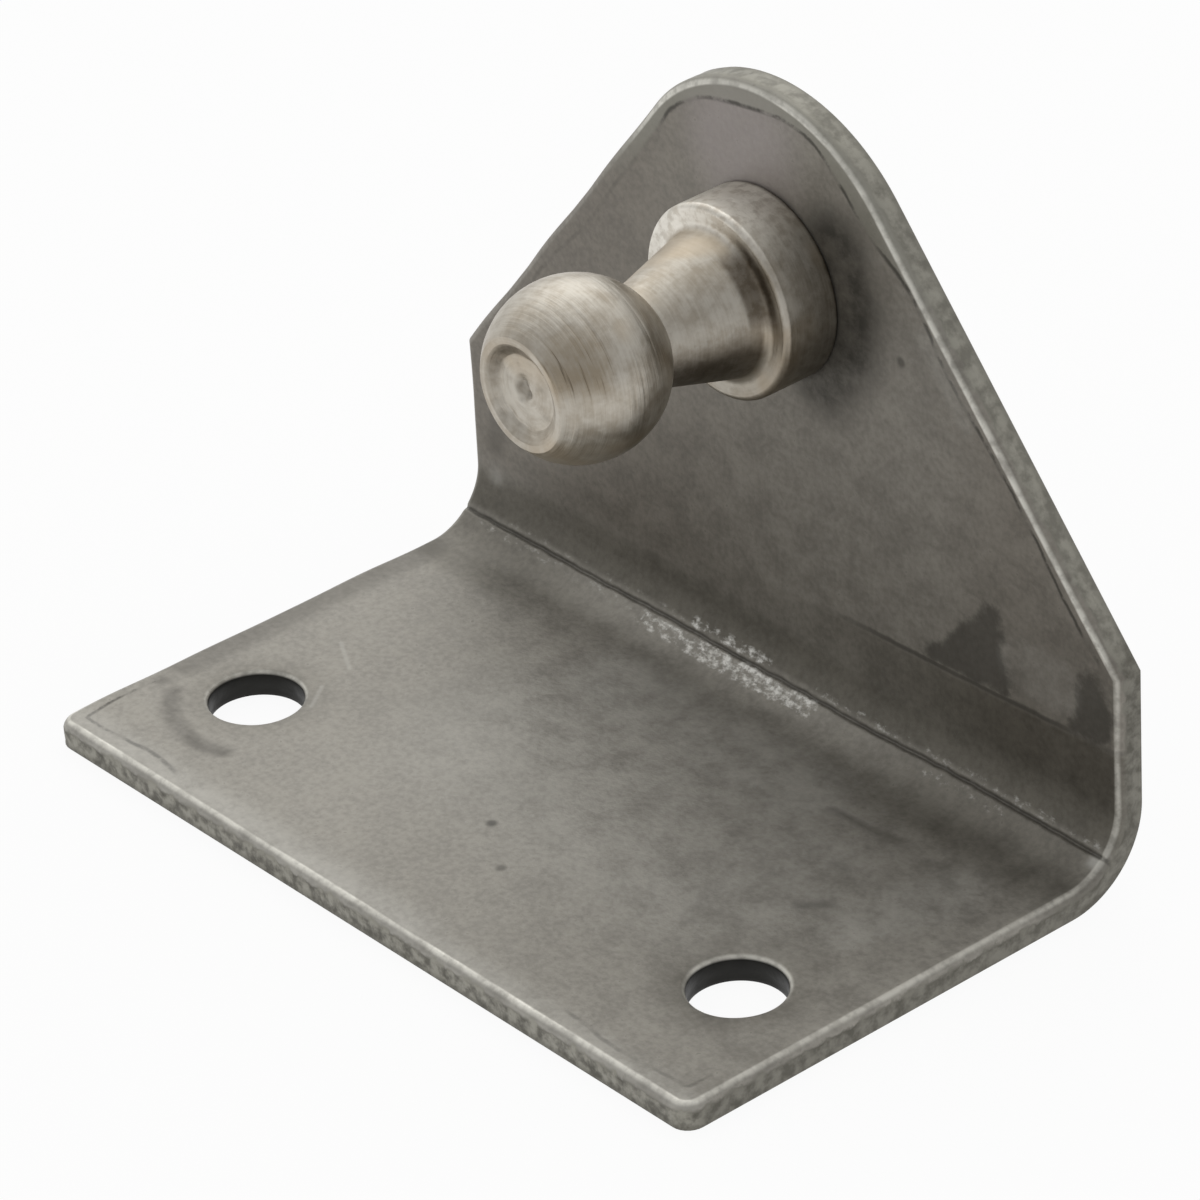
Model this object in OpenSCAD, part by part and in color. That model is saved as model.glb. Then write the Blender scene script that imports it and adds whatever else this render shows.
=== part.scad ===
// Gas spring ball bracket: a folded sheet steel angle with two fixing holes and a riveted ball stud.
// Origin: midway between the fixing holes, on the underside of the base.
// X runs along the bend, +Y towards the upright, +Z up. The stud points along -Y.

/* [Plate] */
// Width of the bracket along the bend
plate_w = 52; // [46:0.5:64]
// Depth of the base, from its free edge to the back of the upright
base_depth = 31.9; // [28:0.1:44]
// Height of the top of the upright above the underside of the base
upright_h = 37.9; // [35:0.1:50]
// Thickness of the sheet
sheet_t = 1.6; // [1:0.1:2.5]
// Inside radius of the bend
bend_r = 3.5; // [2:0.1:5]
// Height of the upright's straight side edges above the underside of the base
side_h = 13; // [10:0.5:18]
// Radius of the upright's rounded top
top_r = 11.3; // [9:0.1:14]
// Radius of the base's free corners, seen from above
corner_r = 1.1; // [0.8:0.1:3]
// Width of the rolled-over edge that blanking leaves on the stud's side of the sheet
edge_roll = 0.45; // [0.1:0.05:0.6]
// Radius of the tool line pressed along the middle of the bend
crease_r = 0.15; // [0.1:0.05:0.4]

/* [Fixing holes] */
// Diameter of the two fixing holes
hole_d = 5.3; // [4:0.1:7]
// Distance between the centres of the fixing holes
hole_pitch = 39.4; // [30:0.2:42]
// Distance of the hole centres from the free edge of the base
hole_edge = 9.1; // [6:0.1:12]
// Width of the drawn-in rim at the top of each hole
hole_roll = 0.3; // [0.1:0.05:0.6]

/* [Ball stud] */
// Diameter of the ball
ball_d = 10; // [8:0.1:11]
// Distance of the ball's centre from the face of the upright
ball_reach = 13.2; // [12:0.1:18]
// Distance of the flat nose from the ball's centre
nose_reach = 3.85; // [3:0.05:3.95]
// Diameter of the shallow dish in the nose, at its rim
dish_d = 5.6; // [4.6:0.1:5.8]
// Diameter of the flat floor of the dish
dish_floor_d = 4.2; // [3:0.1:4.4]
// Depth of the dish
dish_depth = 0.4; // [0.1:0.05:0.5]
// Diameter of the parting dimple in the middle of the dish
dimple_d = 0.9; // [0.4:0.1:1.5]
// Depth of the parting dimple below the floor of the dish
dimple_depth = 0.2; // [0.1:0.05:0.4]
// Diameter of the neck where it runs into the ball
neck_d = 5.5; // [4:0.1:6.5]
// Diameter of the neck where it reaches the collar
neck_base_d = 8.4; // [7.2:0.1:8.8]
// Radius of the fillet between the neck and the collar
neck_fillet_r = 0.45; // [0.2:0.05:0.6]
// Diameter of the collar that seats on the upright
collar_d = 11.1; // [10.6:0.1:14]
// Length of the collar
collar_l = 3.6; // [2:0.1:5]
// Width of the rounded rim at the collar's free end
collar_rim = 0.35; // [0.1:0.05:0.4]
// Width of the rounded edge where the collar seats on the upright
seat_rim = 0.15; // [0.05:0.05:0.3]
// Diameter of the shank that passes through the upright
shank_d = 6; // [4:0.1:7]
// Radial clearance between the shank and its hole
shank_gap = 0.03; // [0.01:0.01:0.1]
// Diameter of the peened head on the back of the upright
rivet_d = 8.6; // [7.6:0.1:11]
// Height of the peened head
rivet_h = 1.2; // [0.6:0.1:2]

/* [Hidden] */
$fn = 96;

// How far a cutter reaches past the face that it cuts
over = 0.5;
// A rolled edge's arc leaves both faces at a slight angle: its centre and radius per unit of width
roll_centre = 1.25;
roll_arc = 1.275;

half_w = plate_w / 2;
front_y = -hole_edge;
back_y = base_depth - hole_edge;
face_y = back_y - sheet_t;
bend_out_r = bend_r + sheet_t;
bend_y = back_y - bend_out_r;
bend_z = bend_out_r;
hole_r = hole_d / 2;

// The slanted side starts at the kink above the straight side and touches the round top
stud_z = upright_h - top_r;
kink_dz = side_h - stud_z;
kink_dist = sqrt(half_w * half_w + kink_dz * kink_dz);
touch_angle = atan2(kink_dz, half_w) + acos(top_r / kink_dist);
touch_x = top_r * cos(touch_angle);
touch_z = stud_z + top_r * sin(touch_angle);
slant_len = sqrt(kink_dist * kink_dist - top_r * top_r);

// Along the stud, distances are measured from the face of the upright
ball_r = ball_d / 2;
neck_r = neck_d / 2;
neck_base_r = neck_base_d / 2;
neck_end = ball_reach - sqrt(ball_r * ball_r - neck_r * neck_r);
neck_slope = atan2(neck_base_r - neck_r, neck_end - collar_l);
fillet_x = neck_base_r + neck_fillet_r * (1 - sin(neck_slope)) / cos(neck_slope);
fillet_y = collar_l + neck_fillet_r;
collar_r = collar_d / 2;
nose_end = ball_reach + nose_reach;
shank_r = shank_d / 2;

// The peened head is a spherical cap on a short cylindrical foot
rivet_r = rivet_d / 2;
rivet_foot = rivet_h / 4;
rivet_cap = rivet_h - rivet_foot;
rivet_round = (rivet_r * rivet_r + rivet_cap * rivet_cap) / (2 * rivet_cap);

plate_steel = [0.45, 0.44, 0.41];
stud_steel = [0.66, 0.63, 0.57];

// Section of a rolled edge: +X runs into the metal from its cut edge, +Y into it from its face
module roll_section(width) {
    difference() {
        translate([-over, -over]) square(width + over);
        translate([roll_centre * width, roll_centre * width]) circle(r = roll_arc * width);
    }
}

// Section of the folded sheet, in the plane of Y and Z
module fold_section() {
    translate([front_y, 0]) square([bend_y - front_y, sheet_t]);
    translate([face_y, bend_z]) square([sheet_t, upright_h - bend_z]);
    translate([bend_y, bend_z]) difference() {
        circle(r = bend_out_r);
        circle(r = bend_r);
        translate([-bend_out_r, -bend_out_r]) square([bend_out_r, 2 * bend_out_r]);
        translate([-bend_out_r, 0]) square([2 * bend_out_r, bend_out_r]);
    }
}

// Outline of the upright, in the plane of X and Z, down to the underside
module upright_outline() {
    polygon([
        [-half_w, 0], [half_w, 0], [half_w, side_h],
        [touch_x, touch_z], [-touch_x, touch_z], [-half_w, side_h]
    ]);
    translate([0, stud_z]) circle(r = top_r);
}

// Outline of the base from above, back to the upright
module base_outline() {
    translate([-half_w, front_y + corner_r]) square([plate_w, base_depth - corner_r]);
    translate([-half_w + corner_r, front_y]) square([plate_w - 2 * corner_r, base_depth]);
    for (side = [-1, 1])
        translate([side * (half_w - corner_r), front_y + corner_r]) circle(r = corner_r);
}

// The sheet as blanked and folded, with square edges
module folded_sheet() {
    intersection() {
        rotate([90, 0, 90]) translate([0, 0, -half_w]) linear_extrude(plate_w) fold_section();
        translate([0, back_y, 0]) rotate([90, 0, 0]) linear_extrude(base_depth) upright_outline();
        linear_extrude(upright_h) base_outline();
    }
}

// Rolled edge along one side: base corner, base side, bend, straight side and slant
module side_roll() {
    translate([half_w - corner_r, front_y + corner_r, sheet_t]) rotate([0, 0, -90])
        rotate_extrude(angle = 90) translate([corner_r, 0]) rotate([0, 0, 180]) roll_section(edge_roll);
    translate([half_w, bend_y, sheet_t]) rotate([90, 180, 0])
        linear_extrude(bend_y - front_y - corner_r) roll_section(edge_roll);
    translate([half_w, bend_y, bend_z]) rotate([-90, 0, 90])
        rotate_extrude(angle = 90) translate([bend_r, 0]) rotate([0, 0, 90]) mirror([0, 1, 0])
            roll_section(edge_roll);
    translate([half_w, face_y, upright_h]) rotate([0, 180, 0])
        linear_extrude(upright_h - bend_z) roll_section(edge_roll);
    translate([touch_x, face_y, touch_z]) rotate([0, 180 - touch_angle, 0])
        linear_extrude(slant_len + sheet_t) roll_section(edge_roll);
}

// Rolled edge round the top of the upright
module top_roll() {
    translate([0, face_y, stud_z]) rotate([-90, 0, 0]) rotate([0, 0, touch_angle - 180])
        rotate_extrude(angle = 180 - 2 * touch_angle) translate([top_r, 0]) mirror([1, 0, 0])
            roll_section(edge_roll);
}

// Rolled edge along the free edge of the base
module front_roll() {
    translate([half_w - corner_r, front_y, sheet_t]) rotate([-90, 0, 90])
        linear_extrude(plate_w - 2 * corner_r) roll_section(edge_roll);
}

// Punched fixing hole with its drawn-in rim
module fixing_hole() {
    translate([0, 0, -over]) cylinder(r = hole_r, h = sheet_t + 2 * over);
    translate([0, 0, sheet_t]) rotate_extrude()
        translate([hole_r, 0]) mirror([0, 1, 0]) roll_section(hole_roll);
}

// The folded angle with its holes, rolled edges and tool line
module angle_plate() {
    color(plate_steel) difference() {
        folded_sheet();
        side_roll();
        mirror([1, 0, 0]) side_roll();
        top_roll();
        front_roll();
        for (side = [-1, 1]) translate([side * hole_pitch / 2, 0, 0]) fixing_hole();
        translate([0, back_y + over, stud_z]) rotate([90, 0, 0])
            cylinder(r = shank_r + shank_gap, h = sheet_t + 2 * over);
        translate([-half_w - over, bend_y + bend_r * cos(45), bend_z - bend_r * sin(45)])
            rotate([0, 90, 0]) cylinder(r = crease_r, h = plate_w + 2 * over);
    }
}

// Half section of the stud: radius along X, distance from the upright's face along Y
module stud_section() {
    translate([0, -sheet_t]) square([shank_r, sheet_t]);
    translate([0, -sheet_t - rivet_foot]) square([rivet_r, rivet_foot]);
    intersection() {
        translate([0, rivet_round - sheet_t - rivet_h]) circle(r = rivet_round);
        translate([0, -sheet_t - rivet_h]) square([rivet_r, rivet_cap]);
    }
    difference() {
        square([collar_r, collar_l]);
        translate([collar_r, collar_l]) rotate([0, 0, 180]) roll_section(collar_rim);
        translate([collar_r, 0]) mirror([1, 0, 0]) roll_section(seat_rim);
    }
    polygon([[0, collar_l], [neck_base_r, collar_l], [neck_r, neck_end], [0, neck_end]]);
    difference() {
        polygon([
            [neck_base_r, collar_l], [fillet_x, collar_l], [fillet_x, fillet_y],
            [fillet_x - neck_fillet_r * cos(neck_slope), fillet_y - neck_fillet_r * sin(neck_slope)]
        ]);
        translate([fillet_x, fillet_y]) circle(r = neck_fillet_r);
    }
    difference() {
        intersection() {
            translate([0, ball_reach]) circle(r = ball_r);
            translate([0, neck_end]) square([ball_r, nose_end - neck_end]);
        }
        polygon([
            [0, nose_end - dish_depth], [dish_floor_d / 2, nose_end - dish_depth],
            [dish_d / 2, nose_end], [dish_d / 2, nose_end + over], [0, nose_end + over]
        ]);
        polygon([
            [0, nose_end - dish_depth - dimple_depth], [dimple_d / 2, nose_end - dish_depth],
            [dimple_d / 2, nose_end], [0, nose_end]
        ]);
    }
}

// The turned stud: ball, neck, collar, shank and peened head in one piece
module ball_stud() {
    color(stud_steel)
        translate([0, face_y, stud_z]) rotate([90, 0, 0]) rotate_extrude() stud_section();
}

angle_plate();
ball_stud();
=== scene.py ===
"""Gas spring ball bracket, dressed for rendering: a folded sheet steel angle with a riveted ball stud.

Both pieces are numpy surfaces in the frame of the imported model. Sizes are in millimetres, and become
metres when a mesh is made.
"""
import logging
import math
from dataclasses import dataclass, replace
from enum import Enum
from typing import Sequence

import bpy
import numpy as np
from mathutils import Matrix, Vector


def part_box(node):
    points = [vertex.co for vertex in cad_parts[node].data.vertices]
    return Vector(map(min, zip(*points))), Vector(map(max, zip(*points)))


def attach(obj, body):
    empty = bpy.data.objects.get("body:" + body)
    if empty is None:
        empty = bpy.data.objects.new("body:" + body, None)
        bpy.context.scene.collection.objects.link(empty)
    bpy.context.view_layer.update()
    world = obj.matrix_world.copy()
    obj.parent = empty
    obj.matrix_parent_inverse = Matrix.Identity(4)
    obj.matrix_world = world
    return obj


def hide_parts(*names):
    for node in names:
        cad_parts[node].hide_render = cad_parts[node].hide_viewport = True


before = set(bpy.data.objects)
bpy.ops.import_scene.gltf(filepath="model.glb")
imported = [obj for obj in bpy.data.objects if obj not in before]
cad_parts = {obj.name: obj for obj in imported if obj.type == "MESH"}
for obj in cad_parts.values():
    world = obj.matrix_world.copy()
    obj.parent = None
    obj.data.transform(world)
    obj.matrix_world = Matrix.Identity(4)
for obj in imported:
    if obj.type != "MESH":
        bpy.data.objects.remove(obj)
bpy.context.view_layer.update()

MM = 0.001
BODY = "root"
WAVE_REACH = 2.0  # waves with a standard deviation of 1 seldom pass it
NOISE_MEAN = 0.5

Array = np.ndarray
Color = tuple[float, float, float]
Point = tuple[float, float]
Place = tuple[float, float, float]
Socket = bpy.types.NodeSocket

log = logging.getLogger("ball_bracket")


class Side(Enum):
    """Face of the sheet: the stud's side or the back, as a share of its thickness."""

    STUD = 0.0
    BACK = 1.0


class ToolMarks(Enum):
    """Depth of the lathe's marks on a stretch of the stud, as a share of the deepest ones."""

    NONE = 0.0
    FAINT = 0.2
    LIGHT = 0.3
    PLAIN = 0.5
    CLEAR = 0.6
    FULL = 1.0


class Measure(Enum):
    """What a zone of the sheet is measured by: a vector that the plate keeps, and which part of it."""

    ALONG = ("blank", 0)
    UP = ("blank", 1)
    DEPTH = ("blank", 2)
    EDGE = ("margin", 0)
    HOLE = ("margin", 1)
    CREASE = ("margin", 2)
    FILM = ("lines", 0)


@dataclass(frozen=True)
class Waves:
    """A smooth random field with a standard deviation of height: cosine waves in random directions.

    value(p) = height * sqrt(2 / count) * sum over i of cos(k_i . p + phase_i), where |k_i| is 2 pi over the
    wavelength times a random factor within spread.
    """

    height: float
    wavelength: float
    seed: int
    count: int = 14
    spread: Point = (0.7, 1.5)

    def at(self, points: Array) -> Array:
        """Works the field out.

        Args:
            points: Places, in mm, with any number of coordinates on the last axis.

        Returns:
            The field's value at each place.
        """
        rng = np.random.default_rng(self.seed)
        direction = rng.normal(size=(points.shape[-1], self.count))
        direction /= np.linalg.norm(direction, axis=0)
        number = 2 * math.pi / (self.wavelength * rng.uniform(*self.spread, self.count))
        phase = rng.uniform(0, 2 * math.pi, self.count)
        total = np.cos(points @ (direction * number) + phase).sum(-1)
        return self.height * math.sqrt(2 / self.count) * total


@dataclass(frozen=True)
class Ramp:
    """A smooth change: at_low up to the value low, at_high from the value high on.

    In between it is at_low + (at_high - at_low) (3 t^2 - 2 t^3), where t goes from 0 at low to 1 at high.
    """

    low: float
    high: float
    at_low: float = 0.0
    at_high: float = 1.0

    def moved(self, by: float) -> "Ramp":
        """The same change further on by a length."""
        return replace(self, low=self.low + by, high=self.high + by)

    def share(self, value: Array) -> Array:
        """The ramp's height at each value."""
        t = np.clip((value - self.low) / (self.high - self.low), 0, 1)
        return self.at_low + (self.at_high - self.at_low) * t * t * (3 - 2 * t)


Zone = tuple[tuple[Measure, Ramp], ...]


@dataclass(frozen=True)
class Noise:
    """A noise from 0 to 1: its waves for each unit of the place, its finer layers and their strength."""

    waves: float
    detail: float = 3.0
    roughness: float = 0.55


def spaced(start: float, end: float, step: float) -> Array:
    """Evenly spaced values from start up to, but without, end, at most step apart."""
    return np.linspace(start, end, max(1, math.ceil(abs(end - start) / step)), endpoint=False)


class SurfaceBuilder:
    """Collects the points and faces of one mesh from grids, strips and fans of whole index arrays."""

    def __init__(self) -> None:
        """Starts with no points and no faces."""
        self._points: list[Array] = []
        self._faces: list[Array] = []
        self._count = 0

    def points(self, places: Array) -> Array:
        """Adds points.

        Args:
            places: Coordinates on the last axis, in any grid shape.

        Returns:
            The new points' numbers, in the same grid shape.
        """
        shape = places.shape[:-1]
        number = np.arange(self._count, self._count + int(np.prod(shape))).reshape(shape)
        self._points.append(places.reshape(-1, 3))
        self._count += number.size
        return number

    def faces(self, *corners: Array, flip: bool = False) -> None:
        """Adds faces given as equal arrays of first, second, third and maybe fourth corners.

        Args:
            corners: One index array for each corner.
            flip: Whether the corners run the other way round.
        """
        made = np.stack([c.ravel() for c in corners], axis=1)
        self._faces.append(made[:, ::-1] if flip else made)

    def strip(self, first: Array, second: Array, flip: bool = False) -> None:
        """Joins two closed loops of equal length by a ring of quads."""
        self.faces(first, second, np.roll(second, -1), np.roll(first, -1), flip=flip)

    def fan(self, loop: Array, pole: Array, flip: bool = False) -> None:
        """Closes an open row of points to one pole by triangles."""
        self.faces(loop[:-1], loop[1:], np.full(len(loop) - 1, pole), flip=flip)

    def places(self) -> Array:
        """All points as one array."""
        return np.concatenate(self._points)

    def make(self, name: str, places: Array, material: bpy.types.Material) -> bpy.types.Object:
        """Makes the mesh object, with smooth faces.

        Args:
            name: Name of the object and its mesh.
            places: Final coordinates of all points, in mm.
            material: Its finish.

        Returns:
            The object, at the origin.
        """
        mesh = bpy.data.meshes.new(name)
        mesh.from_pydata((places * MM).tolist(), [], [f for block in self._faces for f in block.tolist()])
        mesh.polygons.foreach_set("use_smooth", np.ones(len(mesh.polygons), dtype=bool))
        mesh.materials.append(material)
        mesh.update()
        made = bpy.data.objects.new(name, mesh)
        bpy.context.scene.collection.objects.link(made)
        return made


def store_vector(piece: bpy.types.Object, name: str, values: Array) -> None:
    """Keeps a vector for each point of a piece, for its material to read."""
    attribute = piece.data.attributes.new(name, "FLOAT_VECTOR", "POINT")
    attribute.data.foreach_set("vector", values.astype(np.float32).ravel())


@dataclass(frozen=True)
class Mark:
    """A soft stroke, or a spot if it has one point: places and sizes in mm, strength from 0 to 1."""

    points: tuple[Point, ...]
    width: float
    soft: float
    strength: float

    @property
    def fade(self) -> Ramp:
        """Strength over the distance from the stroke: full within half its width, 0 beyond its soft rim."""
        return Ramp(self.width / 2, self.width / 2 + self.soft, self.strength, 0.0)

    def share(self, flat: Array) -> Array:
        """Strength of the mark over the blank.

        The distance from a stretch between a and b is |p - a - t (b - a)|, where t is the share of the way
        from a to b at the foot of p, held within 0 and 1.

        Args:
            flat: Places (x, w) on the blank.

        Returns:
            The strength at each place.
        """
        corners = np.array(self.points)
        last = len(corners) - 1
        starts = corners[:max(1, last)]
        along = corners[min(1, last):] - starts
        offset = flat[:, None] - starts
        squared = np.maximum((along**2).sum(-1), 1e-9)
        foot = np.clip((offset * along).sum(-1) / squared, 0, 1)[..., None] * along
        distance = np.linalg.norm(offset - foot, axis=-1).min(axis=1)
        return self.fade.share(distance)


def strongest(marks: Sequence[Mark], flat: Array) -> Array:
    """Share of several marks at places of the blank, with the strongest on top."""
    return np.max([mark.share(flat) for mark in marks], axis=0)


@dataclass(frozen=True)
class StraightStain:
    """A stain with straight sides: its corners on the blank, anticlockwise, round a convex outline."""

    corners: tuple[Point, ...]

    def outside(self, flat: Array) -> Array:
        """Distance in mm outside the stain, negative inside: the largest distance beyond any of its sides.

        Args:
            flat: Places (x, w) on the blank.

        Returns:
            The distance at each place.
        """
        corners = np.array(self.corners)
        side = np.roll(corners, -1, axis=0) - corners
        outward = np.stack([side[:, 1], -side[:, 0]], axis=-1) / np.linalg.norm(side, axis=1, keepdims=True)
        return ((flat[:, None] - corners) * outward).sum(-1).max(axis=1)


class Graph:
    """Short forms for building one node tree."""

    def __init__(self, tree: bpy.types.NodeTree) -> None:
        """Empties the tree and keeps it."""
        tree.nodes.clear()
        self.tree = tree
        self._kept: dict[str, tuple[Socket, Socket, Socket]] = {}

    def add(self, kind: str, settings: dict | None = None, inputs: dict | None = None) -> bpy.types.Node:
        """Adds a node.

        Args:
            kind: Blender's name of the node type.
            settings: Values of the node's own properties.
            inputs: Sockets to link, or constants to set, by input name or number.

        Returns:
            The node.
        """
        node = self.tree.nodes.new(kind)
        for key, value in (settings or {}).items():
            setattr(node, key, value)
        for key, value in (inputs or {}).items():
            if isinstance(value, Socket):
                self.tree.links.new(value, node.inputs[key])
            else:
                node.inputs[key].default_value = value
        return node

    def attribute(self, name: str) -> Socket:
        """The vector that the piece keeps under that name."""
        return self.add("ShaderNodeAttribute", {"attribute_name": name}).outputs["Vector"]

    def split(self, vector: Socket) -> tuple[Socket, Socket, Socket]:
        """The three coordinates of a vector."""
        outputs = self.add("ShaderNodeSeparateXYZ", None, {0: vector}).outputs
        return outputs[0], outputs[1], outputs[2]

    def kept(self, name: str) -> tuple[Socket, Socket, Socket]:
        """The three parts of the vector that the piece keeps under that name, split only once."""
        if name not in self._kept:
            self._kept[name] = self.split(self.attribute(name))
        return self._kept[name]

    def measured(self, measure: Measure) -> Socket:
        """One measure of the sheet."""
        name, part = measure.value
        return self.kept(name)[part]

    def math(self, operation: str, *values: Socket | float, clamp: bool = False) -> Socket:
        """One sum of one, two or three numbers."""
        settings = {"operation": operation, "use_clamp": clamp}
        return self.add("ShaderNodeMath", settings, dict(enumerate(values))).outputs[0]

    def product(self, *values: Socket | float) -> Socket:
        """All the values multiplied."""
        total = values[0]
        for value in values[1:]:
            total = self.math("MULTIPLY", total, value)
        return total

    def inverse(self, mask: Socket) -> Socket:
        """What a mask leaves over: 1 - mask."""
        return self.math("SUBTRACT", 1.0, mask)

    def weighted(self, *terms: tuple[Socket, float]) -> Socket:
        """Sum of values, each times its weight."""
        total = self.math("MULTIPLY", *terms[0])
        for value, weight in terms[1:]:
            total = self.math("ADD", total, self.math("MULTIPLY", value, weight))
        return total

    def largest(self, *masks: Socket) -> Socket:
        """The largest of several masks."""
        top = masks[0]
        for mask in masks[1:]:
            top = self.math("MAXIMUM", top, mask)
        return top

    def vector(
        self, operation: str, a: Socket | Sequence[float], b: Socket | Sequence[float]
    ) -> bpy.types.Node:
        """One sum of two vectors."""
        return self.add("ShaderNodeVectorMath", {"operation": operation}, {0: a, 1: b})

    def scaled(self, place: Socket, scale: Sequence[float]) -> Socket:
        """A place with each coordinate multiplied by its own factor."""
        return self.vector("MULTIPLY", place, scale).outputs[0]

    def noise(self, place: Socket, noise: Noise) -> Socket:
        """A noise over a place."""
        inputs = {"Vector": place, "Scale": noise.waves, "Detail": noise.detail, "Roughness": noise.roughness}
        return self.add("ShaderNodeTexNoise", None, inputs).outputs["Fac"]

    def ramp(self, value: Socket, ramp: Ramp) -> Socket:
        """The ramp's height at a value."""
        inputs = {"Value": value, "From Min": ramp.low, "From Max": ramp.high}
        inputs |= {"To Min": ramp.at_low, "To Max": ramp.at_high}
        return self.add("ShaderNodeMapRange", {"interpolation_type": "SMOOTHSTEP"}, inputs).outputs["Result"]

    def zone(self, *ramps: tuple[Measure, Ramp]) -> Socket:
        """Mask of a zone of the sheet: the product of ramps, each over one measure."""
        return self.product(*(self.ramp(self.measured(measure), ramp) for measure, ramp in ramps))

    def mix(self, share: Socket | float, a: Socket | Color, b: Socket | Color, blend: str = "MIX") -> Socket:
        """Blends two colours."""
        settings = {"data_type": "RGBA", "blend_type": blend, "clamp_factor": True}
        full = [value if isinstance(value, Socket) else (*value, 1.0) for value in (a, b)]
        return self.add("ShaderNodeMix", settings, {0: share, 6: full[0], 7: full[1]}).outputs[2]

    def line_distance(self, place: Socket, start: Point, end: Point) -> Socket:
        """Distance of a place from a straight line between two points of the same flat."""
        along = Vector((end[0] - start[0], end[1] - start[1], 0.0))
        offset = self.vector("SUBTRACT", place, (*start, 0.0)).outputs[0]
        share = self.vector("DOT_PRODUCT", offset, along / along.length_squared).outputs["Value"]
        share = self.math("ADD", share, 0.0, clamp=True)
        foot = self.add("ShaderNodeVectorMath", {"operation": "SCALE"}, {0: along, "Scale": share}).outputs[0]
        return self.vector("DISTANCE", offset, foot).outputs["Value"]

    def mark(self, place: Socket, mark: Mark) -> Socket:
        """Mask of a mark."""
        points = mark.points
        nearest = self.vector("DISTANCE", place, (*points[0], 0.0)).outputs["Value"]
        for start, end in zip(points, points[1:]):
            nearest = self.math("MINIMUM", nearest, self.line_distance(place, start, end))
        return self.ramp(nearest, mark.fade)


def steel_shader(
    graph: Graph, color: Socket, roughness: Socket, height: Socket, depth_mm: float, metallic: float
) -> None:
    """Ends a material's graph in a metal shader.

    Args:
        graph: The material's graph.
        color: Colour of the metal.
        roughness: Its roughness.
        height: Height of its fine relief, from 0 to 1.
        depth_mm: Depth of that relief.
        metallic: Share of bare metal; the rest is matt oxide.
    """
    relief = graph.add("ShaderNodeBump", None, {"Strength": 1.0, "Distance": depth_mm * MM, "Height": height})
    inputs = {"Base Color": color, "Metallic": metallic, "Roughness": roughness, "Normal": relief.outputs[0]}
    shader = graph.add("ShaderNodeBsdfPrincipled", None, inputs)
    graph.add("ShaderNodeOutputMaterial", None, {"Surface": shader.outputs[0]})


def new_material(name: str) -> tuple[bpy.types.Material, Graph]:
    """A new material and its emptied graph."""
    material = bpy.data.materials.new(name)
    material.use_nodes = True
    return material, Graph(material.node_tree)


@dataclass(frozen=True)
class Fold:
    """The folded sheet: its sizes in mm, and the map from the flat blank to the folded plate.

    A place on the blank is (x, w, n): x along the bend, w the length over the stud's side of the sheet
    from the free edge of the base to the top of the upright, and n the depth below that side.
    """

    front_y: float
    back_y: float
    height: float
    half_w: float
    sheet_t: float = 1.6
    bend_r: float = 3.5
    side_h: float = 13.0

    @classmethod
    def from_frame(cls) -> "Fold":
        """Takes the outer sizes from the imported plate."""
        low, high = (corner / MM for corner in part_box("angle_plate"))
        return cls(front_y=low.y, back_y=high.y, height=high.z, half_w=high.x)

    @property
    def bend_z(self) -> float:
        """Height of the bend's axis."""
        return self.bend_r + self.sheet_t

    @property
    def bend_start(self) -> float:
        """Length over the blank at which the bend starts."""
        return self.back_y - self.sheet_t - self.bend_r - self.front_y

    @property
    def bend_end(self) -> float:
        """Length over the blank at which the bend ends."""
        return self.bend_start + self.bend_r * math.pi / 2

    @property
    def crease_w(self) -> float:
        """Length over the blank at the tool line in the middle of the bend."""
        return (self.bend_start + self.bend_end) / 2

    @property
    def kink(self) -> Point:
        """Place on the blank where the upright's right side turns to its slant."""
        return self.on_upright(self.half_w, self.side_h)

    def on_base(self, x: float, y: float) -> Point:
        """Place on the blank of a point on the base, given in the part's frame."""
        return x, y - self.front_y

    def on_upright(self, x: float, z: float) -> Point:
        """Place on the blank of a point on the upright, given in the part's frame."""
        return x, self.bend_end + z - self.bend_z

    def placed(self, blank: Array) -> Array:
        """Folds the blank.

        With the bend's angle a = (w - bend_start) / bend_r held within 0 and 90 degrees, a place goes to
        y = front_y + min(w, bend_start) + (bend_r + n) sin a,
        z = bend_z - (bend_r + n) cos a + max(w - bend_end, 0).

        Args:
            blank: Places (x, w, n) on the blank.

        Returns:
            The same places (x, y, z) on the folded plate.
        """
        x, w, n = np.moveaxis(blank, -1, 0)
        angle = np.clip((w - self.bend_start) / self.bend_r, 0, math.pi / 2)
        y = self.front_y + np.minimum(w, self.bend_start) + (self.bend_r + n) * np.sin(angle)
        z = self.bend_z - (self.bend_r + n) * np.cos(angle) + np.maximum(w - self.bend_end, 0)
        return np.stack([x, y, z], axis=-1)


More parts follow.
